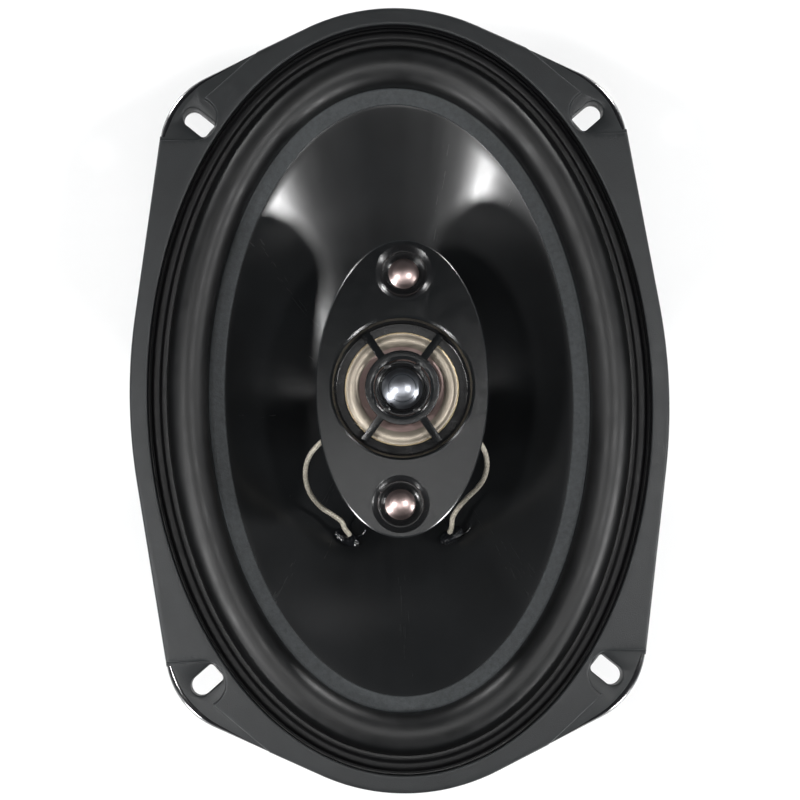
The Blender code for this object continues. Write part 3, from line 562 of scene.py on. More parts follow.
def cloth_material():
    """Resin-stiffened cotton of the spider, woven square, with painted shade in the hollows between the
    threads.
    """
    material, tree, shader = start_material("spider_cloth")
    vector = millimetres(tree)
    split = add_node(tree, "SeparateXYZ", {0: vector})
    threads = [add_node(tree, "Math", {0: arithmetic(tree, "MULTIPLY", split.outputs[axis], 7.5)},
                        operation="SINE").outputs[0] for axis in ("X", "Y")]
    weave = arithmetic(tree, "MULTIPLY", threads[0], threads[1])
    cloud = noise_value(tree, vector, 7.0, detail=4.0)
    colour = mix_colour(tree, cloud, (0.42, 0.25, 0.10), (0.60, 0.40, 0.19))
    # Painted shade: the colour darkens where the weave dips between threads, following the bump, and
    # stays light on the raised threads.
    weave_shade = add_node(tree, "MapRange", {"Value": weave, "From Min": -1.0}).outputs[0]
    rough = noise_value(tree, vector, 3.0, low=0.72, high=0.92)
    finish_material(tree, shader, mix_colour(tree, weave_shade, (0.26, 0.15, 0.06), colour), rough, weave, 0.08)
    shader.inputs["Sheen Weight"].default_value = 0.25
    return material


trim_plastic = surface("trim_plastic", (0.013, 0.0148, 0.016), 0.44, grain=(0.35, 0.03), wear=0.35,
                       mottle=(9.0, 0.14))
trim_gloss = surface("trim_gloss", (0.008, 0.008, 0.009), 0.2, grain=(1.2, 0.01), coat=0.5)
basket_paint = surface("basket_paint", (0.012, 0.0125, 0.013), 0.34, grain=(0.9, 0.05), wear=0.5,
                       coat=0.3, coat_roughness=0.25)
rubber = surface("surround_rubber", (0.0045, 0.0047, 0.0050), 0.44, grain=(0.4, 0.012),
                 mottle=(16.0, 0.15))
rubber_lip = surface("surround_lip", (0.036, 0.041, 0.044), 0.58, grain=(0.6, 0.05),
                     mottle=(1.3, 0.3), rough_shift=0.1)
rubber_rim = surface("surround_rim", (0.004, 0.004, 0.0045), 0.46, grain=(0.5, 0.02),
                     mottle=(5.0, 0.2), specular=0.3)
polypropylene = cone_material()
housing_plastic = surface("housing_plastic", (0.0065, 0.0072, 0.0078), 0.21, grain=(0.22, 0.012),
                          mottle=(12.0, 0.08), rough_shift=0.03)
black_plastic = surface("black_plastic", (0.008, 0.008, 0.0085), 0.24, grain=(0.8, 0.012))
zinc_steel = spun_metal("zinc_steel", (0.52, 0.52, 0.50), 0.34)
ferrite = surface("ferrite", (0.052, 0.053, 0.056), 0.55, metallic=0.25, grain=(0.7, 0.05),
                  mottle=(5.0, 0.22), wear=0.5)
champagne = spun_metal("champagne_film", (0.50, 0.44, 0.36), 0.46, wave=0.8, metallic=0.6)
rosy_film = spun_metal("rosy_film", (0.55, 0.40, 0.37), 0.42, wave=0.8, metallic=0.5)
pink_dome_top = spun_metal("pink_dome_top", (0.55, 0.43, 0.41), 0.33, wave=1.2,
                           centre=(-SUPER_Y * math.sin(POD_TURN), SUPER_Y))
pink_dome_bottom = spun_metal("pink_dome_bottom", (0.55, 0.43, 0.41), 0.33, wave=1.2,
                              centre=(SUPER_Y * math.sin(POD_TURN), -SUPER_Y))
silver_dome = spun_metal("silver_dome", (0.42, 0.44, 0.48), 0.33, wave=1.2)
gold_bead = spun_metal("gold_bead", (0.62, 0.50, 0.31), 0.36, metallic=0.7)
polyimide = surface("polyimide", (0.36, 0.15, 0.03), 0.28, grain=(0.6, 0.01), mottle=(4.0, 0.2))
copper = surface("copper_wire", (0.62, 0.25, 0.12), 0.3, metallic=1.0, grain=(0.25, 0.05),
                 stretch=(30.0, 30.0, 1.0), mottle=(3.0, 0.2))
spider_cloth = cloth_material()
glue = surface("lead_glue", (0.006, 0.0065, 0.008), 0.13, grain=(1.3, 0.03), coat=0.6,
               mottle=(1.5, 0.3))
tinsel = surface("tinsel", (0.66, 0.59, 0.47), 0.42, metallic=0.3, grain=(0.12, 0.03),
                 mottle=(0.6, 0.25), second=(0.70, 0.66, 0.56))
phenolic = surface("phenolic_board", (0.20, 0.095, 0.035), 0.5, grain=(0.4, 0.03),
                   stretch=(4.0, 1.0, 1.0), mottle=(2.5, 0.3))
terminal_metal = surface("terminal_metal", (0.66, 0.62, 0.52), 0.28, metallic=1.0,
                         grain=(0.5, 0.012), mottle=(3.0, 0.15), wear=0.2)
solder = surface("solder", (0.58, 0.58, 0.57), 0.26, metallic=1.0, grain=(0.9, 0.06),
                 mottle=(1.2, 0.2))
sleeve = surface("capacitor_sleeve", (0.02, 0.045, 0.17), 0.32, grain=(0.5, 0.015),
                 mottle=(3.0, 0.15))


# --- camera and cords ----------------------------------------------------------------------

def add_camera():
    """Camera nearly square above the speaker, leaning and turned a little."""
    data = bpy.data.cameras.new("camera")
    data.lens = 89.5
    data.shift_x = -0.0009
    data.shift_y = -0.0092
    data.clip_start = 0.01
    camera = bpy.data.objects.new("camera", data)
    lean = (Matrix.Rotation(math.radians(1.4), 3, "Z") @ Matrix.Rotation(math.radians(-5.83), 3, "X")
            @ Matrix.Rotation(math.radians(2.0), 3, "Y")).transposed()
    target = Vector((0.0, 0.0, FRONT * MM))
    place = target + lean @ Vector((0.0, 0.0, 0.6))
    camera.matrix_world = Matrix.Translation(place) @ lean.to_4x4()
    bpy.context.scene.collection.objects.link(camera)
    bpy.context.scene.camera = camera


def cone_section(t):
    """Half-axes and height of the cone's front at t, 0 at the neck and 1 at the edge."""
    a = NECK + (OPENING_A - LIP_INNER - NECK) * t
    b = NECK + (OPENING_B - LIP_INNER - NECK) * t
    return a, b, NECK_TOP + (CONE_EDGE - NECK_TOP) * t


def cone_height(x, y):
    """Height of the cone's front above the point (x, y), by bisection along its slope."""
    low, high = 0.0, 1.0
    for _ in range(40):
        middle = (low + high) / 2
        a, b = cone_section(middle)[:2]
        inside = (x / a) ** 2 + (y / b) ** 2 < 1
        low, high = (low, middle) if inside else (middle, high)
    return cone_section(low)[2]


def cone_point(x, y, lift):
    """Point a lift above the cone's front, and the direction square to the cone there."""
    step = 0.5
    slope_x = (cone_height(x + step, y) - cone_height(x - step, y)) / (2 * step)
    slope_y = (cone_height(x, y + step) - cone_height(x, y - step)) / (2 * step)
    normal = Vector((-slope_x, -slope_y, 1.0)).normalized()
    return Vector((x, y, cone_height(x, y))) + normal * lift, normal


def smooth_path(points, spacing):
    """Evenly spaced points of a Catmull-Rom curve through a route."""
    knots = [Vector(p) for p in points]
    knots = [knots[0] * 2 - knots[1]] + knots + [knots[-1] * 2 - knots[-2]]
    dense = []
    for p0, p1, p2, p3 in zip(knots, knots[1:], knots[2:], knots[3:]):
        for k in range(24):
            t = k / 24
            dense.append(0.5 * (2 * p1 + (p2 - p0) * t + (2 * p0 - 5 * p1 + 4 * p2 - p3) * t ** 2
                                + (3 * p1 - p0 - 3 * p2 + p3) * t ** 3))
    dense.append(knots[-2])
    length = sum((q - p).length for p, q in zip(dense, dense[1:]))
    count = max(2, round(length / spacing))
    path = [dense[0]]
    k, walked = 0, 0.0
    for i in range(1, count):
        target = length * i / count
        while walked + (dense[k + 1] - dense[k]).length < target:
            walked += (dense[k + 1] - dense[k]).length
            k += 1
        t = (target - walked) / (dense[k + 1] - dense[k]).length
        path.append(dense[k].lerp(dense[k + 1], t))
    path.append(dense[-1])
    return path


def add_tube(bm, path, sides, radius_at):
    """Skin a path with rings whose radius is radius_at(distance, angle)."""
    tangent = (path[1] - path[0]).normalized()
    across = tangent.orthogonal().normalized()
    loops = []
    walked = 0.0
    for i, point in enumerate(path):
        ahead = path[min(i + 1, len(path) - 1)] - path[max(i - 1, 0)]
        tangent = ahead.normalized()
        across = (across - tangent * across.dot(tangent)).normalized()
        up = tangent.cross(across)
        if i:
            walked += (point - path[i - 1]).length
        loops.append([bm.verts.new(point + (across * math.cos(t) + up * math.sin(t))
                                   * radius_at(walked, t)) for t in even_angles(sides)])
    join_solid(bm, loops)


def braid_radius(walked, angle):
    """Radius of a braid of flat strands that cross each other both ways round."""
    pitch, strands = 2.6, 4
    turn = 2 * math.pi * walked / pitch
    right = math.cos(strands * (angle - turn / strands * 2))
    left = math.cos(strands * (angle + turn / strands * 2))
    weave = max(right, left)
    return LEAD_DIAMETER / 2 * (0.88 + 0.12 * weave)


def build_lead(name, node, route):
    """Braided tinsel lead from a fixed point to the moving cone."""
    path = smooth_path(route, 0.16)
    bm = bmesh.new()
    add_tube(bm, path, LEAD_SIDES, braid_radius)
    obj = new_object(name, bm, tinsel, sharp=70.0)
    distances = [0.0]
    for p, q in zip(path, path[1:]):
        distances.append(distances[-1] + (q - p).length)
    bend(obj, node)


def build_leads():
    for word, eyelet in EYELETS.items():
        bead_top = cone_point(*eyelet, 2 * BEAD_SIZE[2] + 1.2)[0]
        build_lead(f"front_tinsel_{word}", f"front_lead_{word}",
                   FRONT_LEADS[word] + [tuple(bead_top)])
        build_lead(f"rear_tinsel_{word}", f"rear_lead_{word}", REAR_LEADS[word])


# --- flange, basket and surround -----------------------------------------------------------

def build_trim_ring():
    outline = resample(flange_outline(), RING_COLUMNS)
    turn = [math.atan2(y / OPENING_B, x / OPENING_A) for x, y in outline]
    loops = []

    def inner_loop(offset, z):
        return [((OPENING_A - offset) * math.cos(t), (OPENING_B - offset) * math.sin(t), z)
                for t in turn]

    for offset, z in ((0.2, RING_BOTTOM), (0.2, FRONT - 0.5), (0.12, FRONT - 0.22),
                      (-0.05, FRONT - 0.06), (-0.3, FRONT)):
        loops.append(inner_loop(offset, z))
    crown = 0.9
    shoulder = shifted(outline, -crown)
    edge = loops[-1]
    for k in range(1, 9):
        loops.append([(p[0] + (q[0] - p[0]) * k / 8, p[1] + (q[1] - p[1]) * k / 8, FRONT)
                      for p, q in zip(edge, shoulder)])
    for k in range(1, 6):
        angle = math.pi / 2 * k / 5
        ring = shifted(outline, crown * (math.sin(angle) - 1))
        loops.append([(x, y, FRONT - crown * (1 - math.cos(angle))) for x, y in ring])
    loops.append([(x, y, RING_BOTTOM + 0.3) for x, y in outline])
    loops.append([(x, y, RING_BOTTOM) for x, y in shifted(outline, -0.3)])
    bm = bmesh.new()
    join_loops(bm, [[bm.verts.new(p) for p in loop] for loop in loops], closed=True)
    ring = new_object("trim_ring_face", bm, trim_plastic, trim_gloss)
    for polygon in ring.data.polygons:
        x, y, z = polygon.center / MM
        outside = (x / OPENING_A) ** 2 + (y / OPENING_B) ** 2 > 1.01
        if z < FRONT - (0.2 if outside else 0.45):
            polygon.material_index = 1
    pads, slots = bmesh.new(), bmesh.new()
    for signs in quadrants():
        add_stack(pads, pad_outline(signs), [
            (-0.4, PAD_FLOOR), (-0.12, PAD_FLOOR + 0.08), (0.0, PAD_FLOOR + 0.3),
            (0.0, FRONT - 0.4), (0.12, FRONT - 0.1), (0.45, FRONT + 0.05), (0.45, FRONT + 3)])
        add_stack(slots, slot_outline(signs), [
            (0.0, RING_BOTTOM - 2), (0.0, PAD_FLOOR - 0.5), (0.14, PAD_FLOOR - 0.15),
            (0.5, PAD_FLOOR + 0.05), (0.5, FRONT + 3)])
    combine(ring, new_object("pads", pads, trim_plastic, trim_gloss), use_self=True)
    for number, signs in enumerate(quadrants()):
        combine(ring, ear_edge(number, signs))
    combine(ring, new_object("slots", slots, trim_plastic, trim_gloss))
    return dress(ring, "frame", "trim_plastic", "trim_ring")


def ear_edge(number, signs):
    """Cutter that rolls the flange's edge over beside a mounting pad."""
    outline = resample(flange_outline(), RING_COLUMNS)
    low_y = SLOT_CENTRE[1] + PAD_SHIFT * math.sin(SLOT_ANGLE) - PAD_RADIUS + 0.75
    part = [p for p in outline if p[0] > 41.0 and p[1] > low_y]
    first, last = part[0][1], part[-1][1]
    drop = 1.6
    loops = []
    bm = bmesh.new()
    for i, (x, y) in enumerate(part):
        neighbour = part[i + 1] if i + 1 < len(part) else part[i - 1]
        along = (Vector(neighbour) - Vector((x, y))).normalized()
        if i + 1 == len(part):
            along = -along
        outward = Vector((along.y, -along.x))
        rise = (y - first) / (last - first)
        reach = 1.7 * smooth_step(rise, -0.3, 0.2) * (1 - smooth_step(rise, 0.5, 1.0)) + 0.25
        section = [(1.5, FRONT + 2), (1.5, PAD_FLOOR - drop), (0.0, PAD_FLOOR - drop)]
        for k in range(1, 9):
            angle = math.pi / 2 * k / 8
            section.append((-reach * (1 - math.cos(angle)), PAD_FLOOR - drop * (1 - math.sin(angle))))
        section.append((-reach, FRONT + 2))
        loops.append([bm.verts.new((signs[0] * (x + outward.x * u), signs[1] * (y + outward.y * u), z))
                      for u, z in section])
    join_solid(bm, loops)
    cutter = new_object(f"ear_edge_{number}", bm, trim_plastic, trim_gloss)
    for polygon in cutter.data.polygons:
        polygon.material_index = 1
    return cutter


def build_basket():
    """Pressed steel frame: flange, sloping wall with windows, spider ledge and bottom."""
    rim = RING_BOTTOM - 0.3
    outline = resample(flange_outline(1.0), RING_COLUMNS)
    turn = [math.atan2(y / OPENING_B, x / OPENING_A) for x, y in outline]
    ledge = SPIDER_BOTTOM - 0.3
    floor = PLATE_TOP + 0.3 + STEEL
    sections = eased([
        (OPENING_A - 4.2, OPENING_B - 4.2, rim), (OPENING_A - 5.0, OPENING_B - 5.0, rim - 0.4),
        (67.0, 103.0, 62.0), (56.0, 64.0, 40.0), (53.5, 53.5, ledge), (48.0, 48.0, ledge),
        (44.0, 44.0, floor), (18.5, 18.5, floor)], 1.6, steps=5, closed=False)
    bm = bmesh.new()
    loops = [[bm.verts.new((x, y, rim)) for x, y in outline]]
    loops += [[bm.verts.new((a * math.cos(t), b * math.sin(t), z)) for t in turn]
              for a, b, z in sections]
    join_loops(bm, loops, closed=False)
    basket = new_object("basket_pressing", bm, basket_paint)
    basket.data.flip_normals()
    solidify = basket.modifiers.new("sheet", "SOLIDIFY")
    solidify.thickness = STEEL * MM
    solidify.offset = 1.0
    settle(basket)
    if basket.data.vertices[0].co.z < 0:
        basket.data.flip_normals()
    holes = bmesh.new()
    for signs in quadrants():
        add_stack(holes, slot_outline(signs, grow=-0.1), [(0.0, rim - 6), (0.0, rim + 6)])
    for number in range(6):
        add_stack(holes, window_outline(number), [(0.0, 36.0), (0.0, 72.0)])
    for number in range(4):
        x, y = rivet_place(number)
        add_turned(holes, [(0.0, 24.0), (2.2, 24.0), (2.2, 31.0), (0.0, 31.0)], 32, (x, y))
    combine(basket, new_object("basket_holes", holes, basket_paint))
    bevelled(basket, 0.3, angle=50.0)
    return dress(basket, "frame", "basket_paint", "basket")


def window_outline(number):
    """Rounded opening between two spokes, in plan."""
    middle = math.radians(60.0 * number)
    half = math.radians(23.5)
    loop = []
    for u, v in rounded_rectangle(50.0, 20.0, 4.5):
        loop.append((middle + half * u / 25.0, 0.5 + v / 20.0))
    dense = resample([(t * 60.0, s * 20.0) for t, s in loop], 120)
    plan = []
    for u, v in dense:
        t, s = u / 60.0, v / 20.0
        plan.append(((58.5 + 7.5 * s) * math.cos(t), (68.0 + 31.0 * s) * math.sin(t)))
    return counter_clockwise(plan)


def rivet_place(number):
    angle = math.radians(45.0 + 90.0 * number)
    return 32.0 * math.cos(angle), 32.0 * math.sin(angle)


def build_surround():
    """Rubber edge: glued rim with a bead, half roll, and the lip that holds the cone."""
    rim_top = RING_BOTTOM + 1.0
    roll_z = FRONT - 5.8
    lip_top = FRONT - 9.0
    rim = eased([(0.5, RING_BOTTOM), (0.5, rim_top), (1.1, rim_top), (1.9, rim_top + 0.9),
                 (3.5, rim_top + 0.9), (4.3, rim_top), (5.0, rim_top - 0.2),
                 (5.6, roll_z + 0.6)], 0.7, closed=False)
    roll = arc((ROLL_OFFSET, roll_z), ROLL_RADIUS, 176, 4, 40)
    lip = eased([(LIP_OUTER, roll_z - 1.5), (LIP_OUTER, lip_top + 0.5), (LIP_OUTER + 0.6, lip_top),
                 (LIP_INNER - 0.2, lip_top - 0.6), (LIP_INNER, lip_top - 0.8),
                 (LIP_INNER, lip_top - 1.3), (LIP_OUTER - RUBBER, lip_top - 0.7)], 0.3,
                closed=False)
    under = arc((ROLL_OFFSET, roll_z), ROLL_RADIUS - RUBBER, 0, 180, 32) + [(5.6, RING_BOTTOM)]
    profile = rim + roll + lip + under
    sections = [(OPENING_A - d, OPENING_B - d, z) for d, z in profile]
    obj = oval("surround_roll", sections, rubber, rubber_rim, rubber_lip, sharp=60.0)
    for polygon in obj.data.polygons:
        x, y, z = polygon.center / MM
        offset = ring_offset(x, y)
        if offset < 5.0:
            polygon.material_index = 1
        elif offset > LIP_OUTER + 0.1:
            polygon.material_index = 2
    bend(obj,
         "surround")


def ring_offset(x, y):
    """Offset d of the nested ellipse through the point (x, y), by bisection."""
    low, high = -10.0, 60.0
    for _ in range(30):
        middle = (low + high) / 2
        outside = (x / (OPENING_A - middle)) ** 2 + (y / (OPENING_B - middle)) ** 2 > 1
        low, high = (low, middle) if outside else (middle, high)
    return low


# --- cone, voice coil and spider -----------------------------------------------------------

def build_cone():
    front = [(NECK, NECK, NECK_BOTTOM), (NECK, NECK, NECK_TOP - 0.6)]
    front += [cone_section(0.012 + 0.978 * k / 30) for k in range(31)]
    a, b, z = cone_section(1.0)
    front.append((a + 0.5, b + 0.5, z + 0.15))
    front.append((a + 4.3, b + 4.3, z + 0.6))
    wall = CONE_WALL
    back = [(NECK + wall, NECK + wall, NECK_BOTTOM), (NECK + wall, NECK + wall, NECK_TOP - 0.9)]
    for k in range(1, 31):
        a, b, z = cone_section(k / 30)
        back.append((a + wall / 2, b + wall / 3, z - wall))
    back.append((a + 4.3, b + 4.3, z + 0.6 - wall))
    obj = oval("cone_shell", front + back[::-1], polypropylene)
    return dress(obj, "woofer", "cone_polypropylene", "cone")


def tube(inner, outer, bottom, top, reach=0.15):
    return eased([(inner, top), (outer, top), (outer, bottom), (inner, bottom)], reach)


def build_coil():
    former = turned("voice_coil_tube", tube(14.75, 15.05, 16.0, 41.0, 0.08), polyimide)
    dress(former, "woofer", "polyimide", "voice_coil_former")
    inner, bottom, top, wire = NECK, 18.0, 31.0, 0.5
    turns = int((top - bottom) / wire)
    profile = [(inner, top), (inner, bottom)]
    for k in range(turns):
        z = bottom + wire * (k + 0.5)
        profile += [(p[0], p[1]) for p in arc((15.85, z), wire / 2, -80, 80, 6)]
    winding = turned("voice_coil_turns", profile, copper)
    dress(winding, "woofer", "copper_wire", "voice_coil_winding")


def build_spider():
    """Corrugated damper, flat where it is glued to the ledge and to the voice coil."""
    thickness = 0.5
    middle = (SPIDER_BOTTOM + SPIDER_TOP) / 2
    upper, lower = [], []
    steps = 150
    for k in range(steps + 1):
        r = NECK + (52.0 - NECK) * k / steps
        waves = math.sin((r - 19.0) / 4.6 * 2 * math.pi) if r > 19.0 else 0.0
        fade = smooth_step(r, 18.0, 21.0) * (1 - smooth_step(r, 44.5, 48.0))
        z = middle + 0.92 * waves * fade
        z += (SPIDER_BOTTOM + thickness / 2 - middle) * smooth_step(r, 43.5, 47.5)
        upper.append((r, z + thickness / 2))
        lower.append((r, z - thickness / 2))
    obj = turned("spider_corrugated", upper + lower[::-1], spider_cloth, columns=192)
    bend(obj, "spider")


def build_glue():
    """Glossy beads over the eyelets, with a stub of wire and the coil's own wires."""
    for word, (x, y) in EYELETS.items():
        foot, normal = cone_point(x, y, 1.55)
        side = 1 if word == "right" else -1
        bm = bmesh.new()
        bmesh.ops.create_icosphere(bm, subdivisions=5, radius=1.0)
        turn = normal.to_track_quat("Z", "Y").to_matrix()
        lean = Matrix.Rotation(math.radians(-14.0 * side), 3, "Z")
        for vert in bm.verts:
            swell = 1 + 0.16 * noise.noise(vert.co * 1.7 + Vector((side * 3.1, 0, 0)))
            swell += 0.05 * noise.noise(vert.co * 5.0)
            local = vert.co * Vector(BEAD_SIZE) * swell
            local.z = max(local.z, -BEAD_SIZE[2])
            vert.co = foot + turn @ (lean @ local)
        bead = new_object(f"glue_bead_{word}", bm, glue, sharp=60.0)
        dress(bead, "woofer", "lead_glue", f"lead_glue_{word}")
        build_coil_wire(word, side)


def build_coil_wire(word, side):
    """Lacquered wire from the voice coil up the cone, and its end that sticks out of the bead."""
    x, y = EYELETS[word]
    route = [cone_point(6.0 * side + (x - 6.0 * side) * k / 6, -15.0 + (y + 15.0) * k / 6, 0.35)[0]
             for k in range(7)]
    bm = bmesh.new()
    add_tube(bm, smooth_path(route, 0.6), 10, lambda walked, angle: 0.24)
    foot = cone_point(x + 3.2, y + 0.4, 1.4)[0]
    curl = [foot, foot + Vector((1.7, 0.6, 0.5)), foot + Vector((2.6, 1.8, 1.0)),
            foot + Vector((2.4, 3.1, 1.5))]
    add_tube(bm, smooth_path(curl, 0.2), 10, lambda walked, angle: 0.22 + 0.02 * math.sin(3 * walked))
    wire = new_object(f"coil_wire_{word}", bm, glue, sharp=60.0)
    dress(wire, "woofer", "lead_glue")


# --- motor ---------------------------------------------------------------------------------

def build_motor():
    back = eased([
        (1.9, PLATE_TOP), (14.4, PLATE_TOP), (14.4, MAGNET_BOTTOM - 0.3), (43.0, MAGNET_BOTTOM - 0.3),
        (43.0, 0.0), (5.5, 0.0), (5.5, 4.6), (1.9, 4.6)], 0.7)
    dress(turned("back_plate_turned", back, zinc_steel), "frame", "zinc_steel", "back_plate")
    magnet = turned("ferrite_ring", tube(20.0, 45.0, MAGNET_BOTTOM, MAGNET_TOP, 0.9), ferrite)
    dress(magnet, "frame", "ferrite", "magnet")
    plate = turned("front_plate_turned", tube(16.7, 43.0, PLATE_BOTTOM, PLATE_TOP, 0.5), zinc_steel)
    dress(plate, "frame", "zinc_steel", "front_plate")
    top = PLATE_TOP + 0.3 + STEEL + 0.3
    head = eased([(0.0, top + 1.3), (1.6, top + 1.2), (2.6, top + 0.8), (3.1, top + 0.2), (3.1, top),
                  (1.9, top), (1.9, 24.3), (0.0, 24.3)], 0.3)
    for number in range(4):
        rivet = turned(f"rivet_head_{number + 1}", head, zinc_steel, columns=48,
                       centre=rivet_place(number))
        dress(rivet, "frame", "zinc_steel", f"basket_rivet_{number + 1}")


# --- terminals -----------------------------------------------------------------------------

def spoke_frame():
    """Turn and place of the terminal board on the outside of the -Y spoke."""
    run, rise = 39.0, 22.0
    angle = math.pi - math.atan2(rise, run)
    outward = Vector((0.0, -math.sin(angle), math.cos(angle)))
    return angle, Vector((0.0, -83.5, 51.0)) + outward * STEEL


def build_terminals():
    angle, place = spoke_frame()
    to_spoke = Matrix.Translation(place * MM) @ Matrix.Rotation(angle, 4, "X")
    bottom = 0.3
    board = stack("terminal_strip", rounded_rectangle(34.0, 20.0, 2.0),
                  [(-0.2, bottom), (0.0, bottom + 0.2), (0.0, bottom + 1.4), (-0.2, bottom + 1.6)],
                  phenolic)
    holes = bmesh.new()
    for x, y, r in ((11.0, -4.0, 1.2), (-11.0, -4.0, 1.2), (0.0, 0.0, 1.6), (11.0, 6.5, 0.9),
                    (-11.0, 6.5, 0.9)):
        add_turned(holes, [(0.0, -4.0), (r, -4.0), (r, 8.0), (0.0, 8.0)], 32, (x, y))
    combine(board, new_object("board_holes", holes, phenolic))
    dress(moved(board, to_spoke), "frame", "phenolic_board", "terminal_board")
    tab_bottom = bottom + 1.6 + 0.3
    for x, width, word in ((11.0, 6.3, "positive"), (-11.0, 4.8, "negative")):
        tab = stack(f"tab_{word}", tab_outline(x, width),
                    [(-0.14, tab_bottom), (0.0, tab_bottom + 0.14), (0.0, tab_bottom + 0.66),
                     (-0.14, tab_bottom + 0.8)], terminal_metal)
        holes = bmesh.new()
        add_turned(holes, [(0.0, 0.0), (1.2, 0.0), (1.2, 8.0), (0.0, 8.0)], 32, (x, -4.0))
        add_turned(holes, [(0.0, 0.0), (0.85, 0.0), (0.85, 8.0), (0.0, 8.0)], 32, (x, 12.6))
        combine(tab, new_object("tab_holes", holes, terminal_metal))
        dress(moved(tab, to_spoke), "frame", "terminal_metal", f"terminal_{word}")
        head = tab_bottom + 0.8 + 0.3
        profile = eased([(0.0, head + 0.9), (1.3, head + 0.85), (1.9, head + 0.4), (1.9, head),
                         (0.9, head), (0.9, 0.0), (1.7, 0.0), (1.7, -1.0), (0.0, -1.0)], 0.2)
        rivet = turned(f"tab_rivet_{word}", profile, terminal_metal, columns=40, centre=(x, -4.0))
        dress(moved(rivet, to_spoke), "frame", "terminal_metal", f"terminal_rivet_{word}")
    head = bottom + 1.6 + 0.3
    foot = -STEEL - 0.3
    profile = eased([(0.0, head + 1.0), (1.8, head + 0.95), (2.6, head + 0.4), (2.6, head),
                     (1.3, head), (1.3, foot), (2.6, foot), (2.6, foot - 1.0), (0.0, foot - 1.0)], 0.25)
    rivet = turned("board_rivet", profile, zinc_steel, columns=40)
    dress(moved(rivet, to_spoke), "frame", "zinc_steel", "terminal_board_rivet")


def tab_outline(x, width):
    """Blade terminal in plan: square foot, and a tip with cut corners."""
    low, high, half, cut = -8.0, 16.0, width / 2, 1.1
    return [(x - half, low), (x + half, low), (x + half, high - cut), (x + half - cut, high),
            (x - half + cut, high), (x - half, high - cut)]


# --- bridge --------------------------------------------------------------------------------

def build_post():
    foot = PLATE_TOP + 0.3
    profile = eased([
        (0.0, POD_BACK), (11.0, POD_BACK), (11.0, POD_BACK - 2.7), (5.0, POD_BACK - 6.0),
        (5.0, foot + 6.0), (9.0, foot + 2.2), (9.0, foot), (1.8, foot), (1.8, foot + 8.9),
        (0.0, foot + 8.9)], 0.8)
    dress(turned("post_moulding", profile, black_plastic), "frame", "black_plastic", "bridge_post")
    washer = turned("screw_washer", tube(1.8, 4.8, 3.7, 4.3, 0.12), zinc_steel, columns=64)
    dress(washer, "frame", "zinc_steel", "bridge_washer")
    head = 3.4
    shank = eased([(0.0, foot + 8.4), (1.5, foot + 8.4), (1.5, head), (3.5, head), (3.5, head - 1.0),
                   (2.8, head - 1.7), (1.6, head - 2.1), (0.0, head - 2.1)], 0.25)
    screw = turned("bridge_fixing_screw", shank, zinc_steel, columns=48)
    cross = bmesh.new()
    for length, width in ((3.4, 0.75), (0.75, 3.4)):
        add_block(cross, (length, width, 1.5), 0.0, 0.0, head - 1.9)
    combine(screw, new_object("cross_recess", cross, zinc_steel))
    dress(screw, "frame", "zinc_steel", "bridge_screw")


def pod_place(y):
    """Place of a driver on the pod's long axis."""
    return -y * math.sin(POD_TURN), y * math.cos(POD_TURN)


def turned_pod(obj):
    return moved(obj, Matrix.Rotation(POD_TURN, 4, "Z"))


def build_housing():
    """Oval pod: an open-backed shell with three countersunk driver openings."""
    face = POD_FACE
    outer = eased([(20.5, 39.0, POD_BACK), (24.9, 43.6, 91.0), (25.5, 44.2, face - 0.7),
                   (25.0, 43.7, face)], 0.5, closed=False)
    shell = oval("housing_shell", outer + [(12.0, 21.0, face)], housing_plastic, black_plastic,
                 caps=True)
    cavity = oval("cavity", [(18.4, 36.9, POD_BACK - 1), (23.3, 42.0, 91.2), (23.9, 42.6, face - 2)],
                  housing_plastic, black_plastic, caps=True)
    combine(shell, cavity)
    collar = turned("collar", [(0.0, 96.8), (22.6, 96.8), (22.6, face - 1), (0.0, face - 1)],
                    housing_plastic, black_plastic)
    combine(shell, collar, "UNION")
    funnel = eased([(0.0, face + 1), (21.9, face + 1), (21.5, face), (20.7, face - 0.9),
                    (20.1, face - 2.6), (19.4, 96.8), (19.3, 96.0), (19.3, 95.0), (0.0, 95.0)], 0.2)
    combine(shell, turned("mid_funnel", funnel, housing_plastic, black_plastic))
    small = eased([(0.0, face + 1), (9.0, face + 1), (8.5, face), (7.9, face - 0.5),
                   (6.8, face - 1.7), (6.6, face - 2.2), (6.6, 97.0), (0.0, 97.0)], 0.2)
    for side in (-1, 1):
        combine(shell, turned(f"super_funnel_{side + 2}", small, housing_plastic, black_plastic,
                              centre=(0.0, side * SUPER_Y)))
    for polygon in shell.data.polygons:
        x, y, z = polygon.center / MM
        funnels = min(math.hypot(x, y - c) - r for c, r in ((0, 20.3), (SUPER_Y, 8.3), (-SUPER_Y, 8.3)))
        if funnels < 0 and z > 95.0:
            polygon.material_index = 1
    for vert in shell.data.vertices:
        above = vert.co.z / MM - CROWN_FOOT
        if above > 0:
            vert.co.z -= CROWN_DROP * MM * (vert.co.y / (44.2 * MM)) ** 2 * above / (face - CROWN_FOOT)
    turned_pod(shell)
    dress(shell, "frame", "housing_plastic", "bridge_housing")
    cover = oval("back_cover_plate", [(17.9, 36.4, 82.3), (18.3, 36.8, 82.6), (18.3, 36.8, 83.6),
                                      (17.9, 36.4, 83.9)], black_plastic, caps=True)
    turned_pod(cover)
    dress(cover, "frame", "black_plastic", "bridge_back_cover")


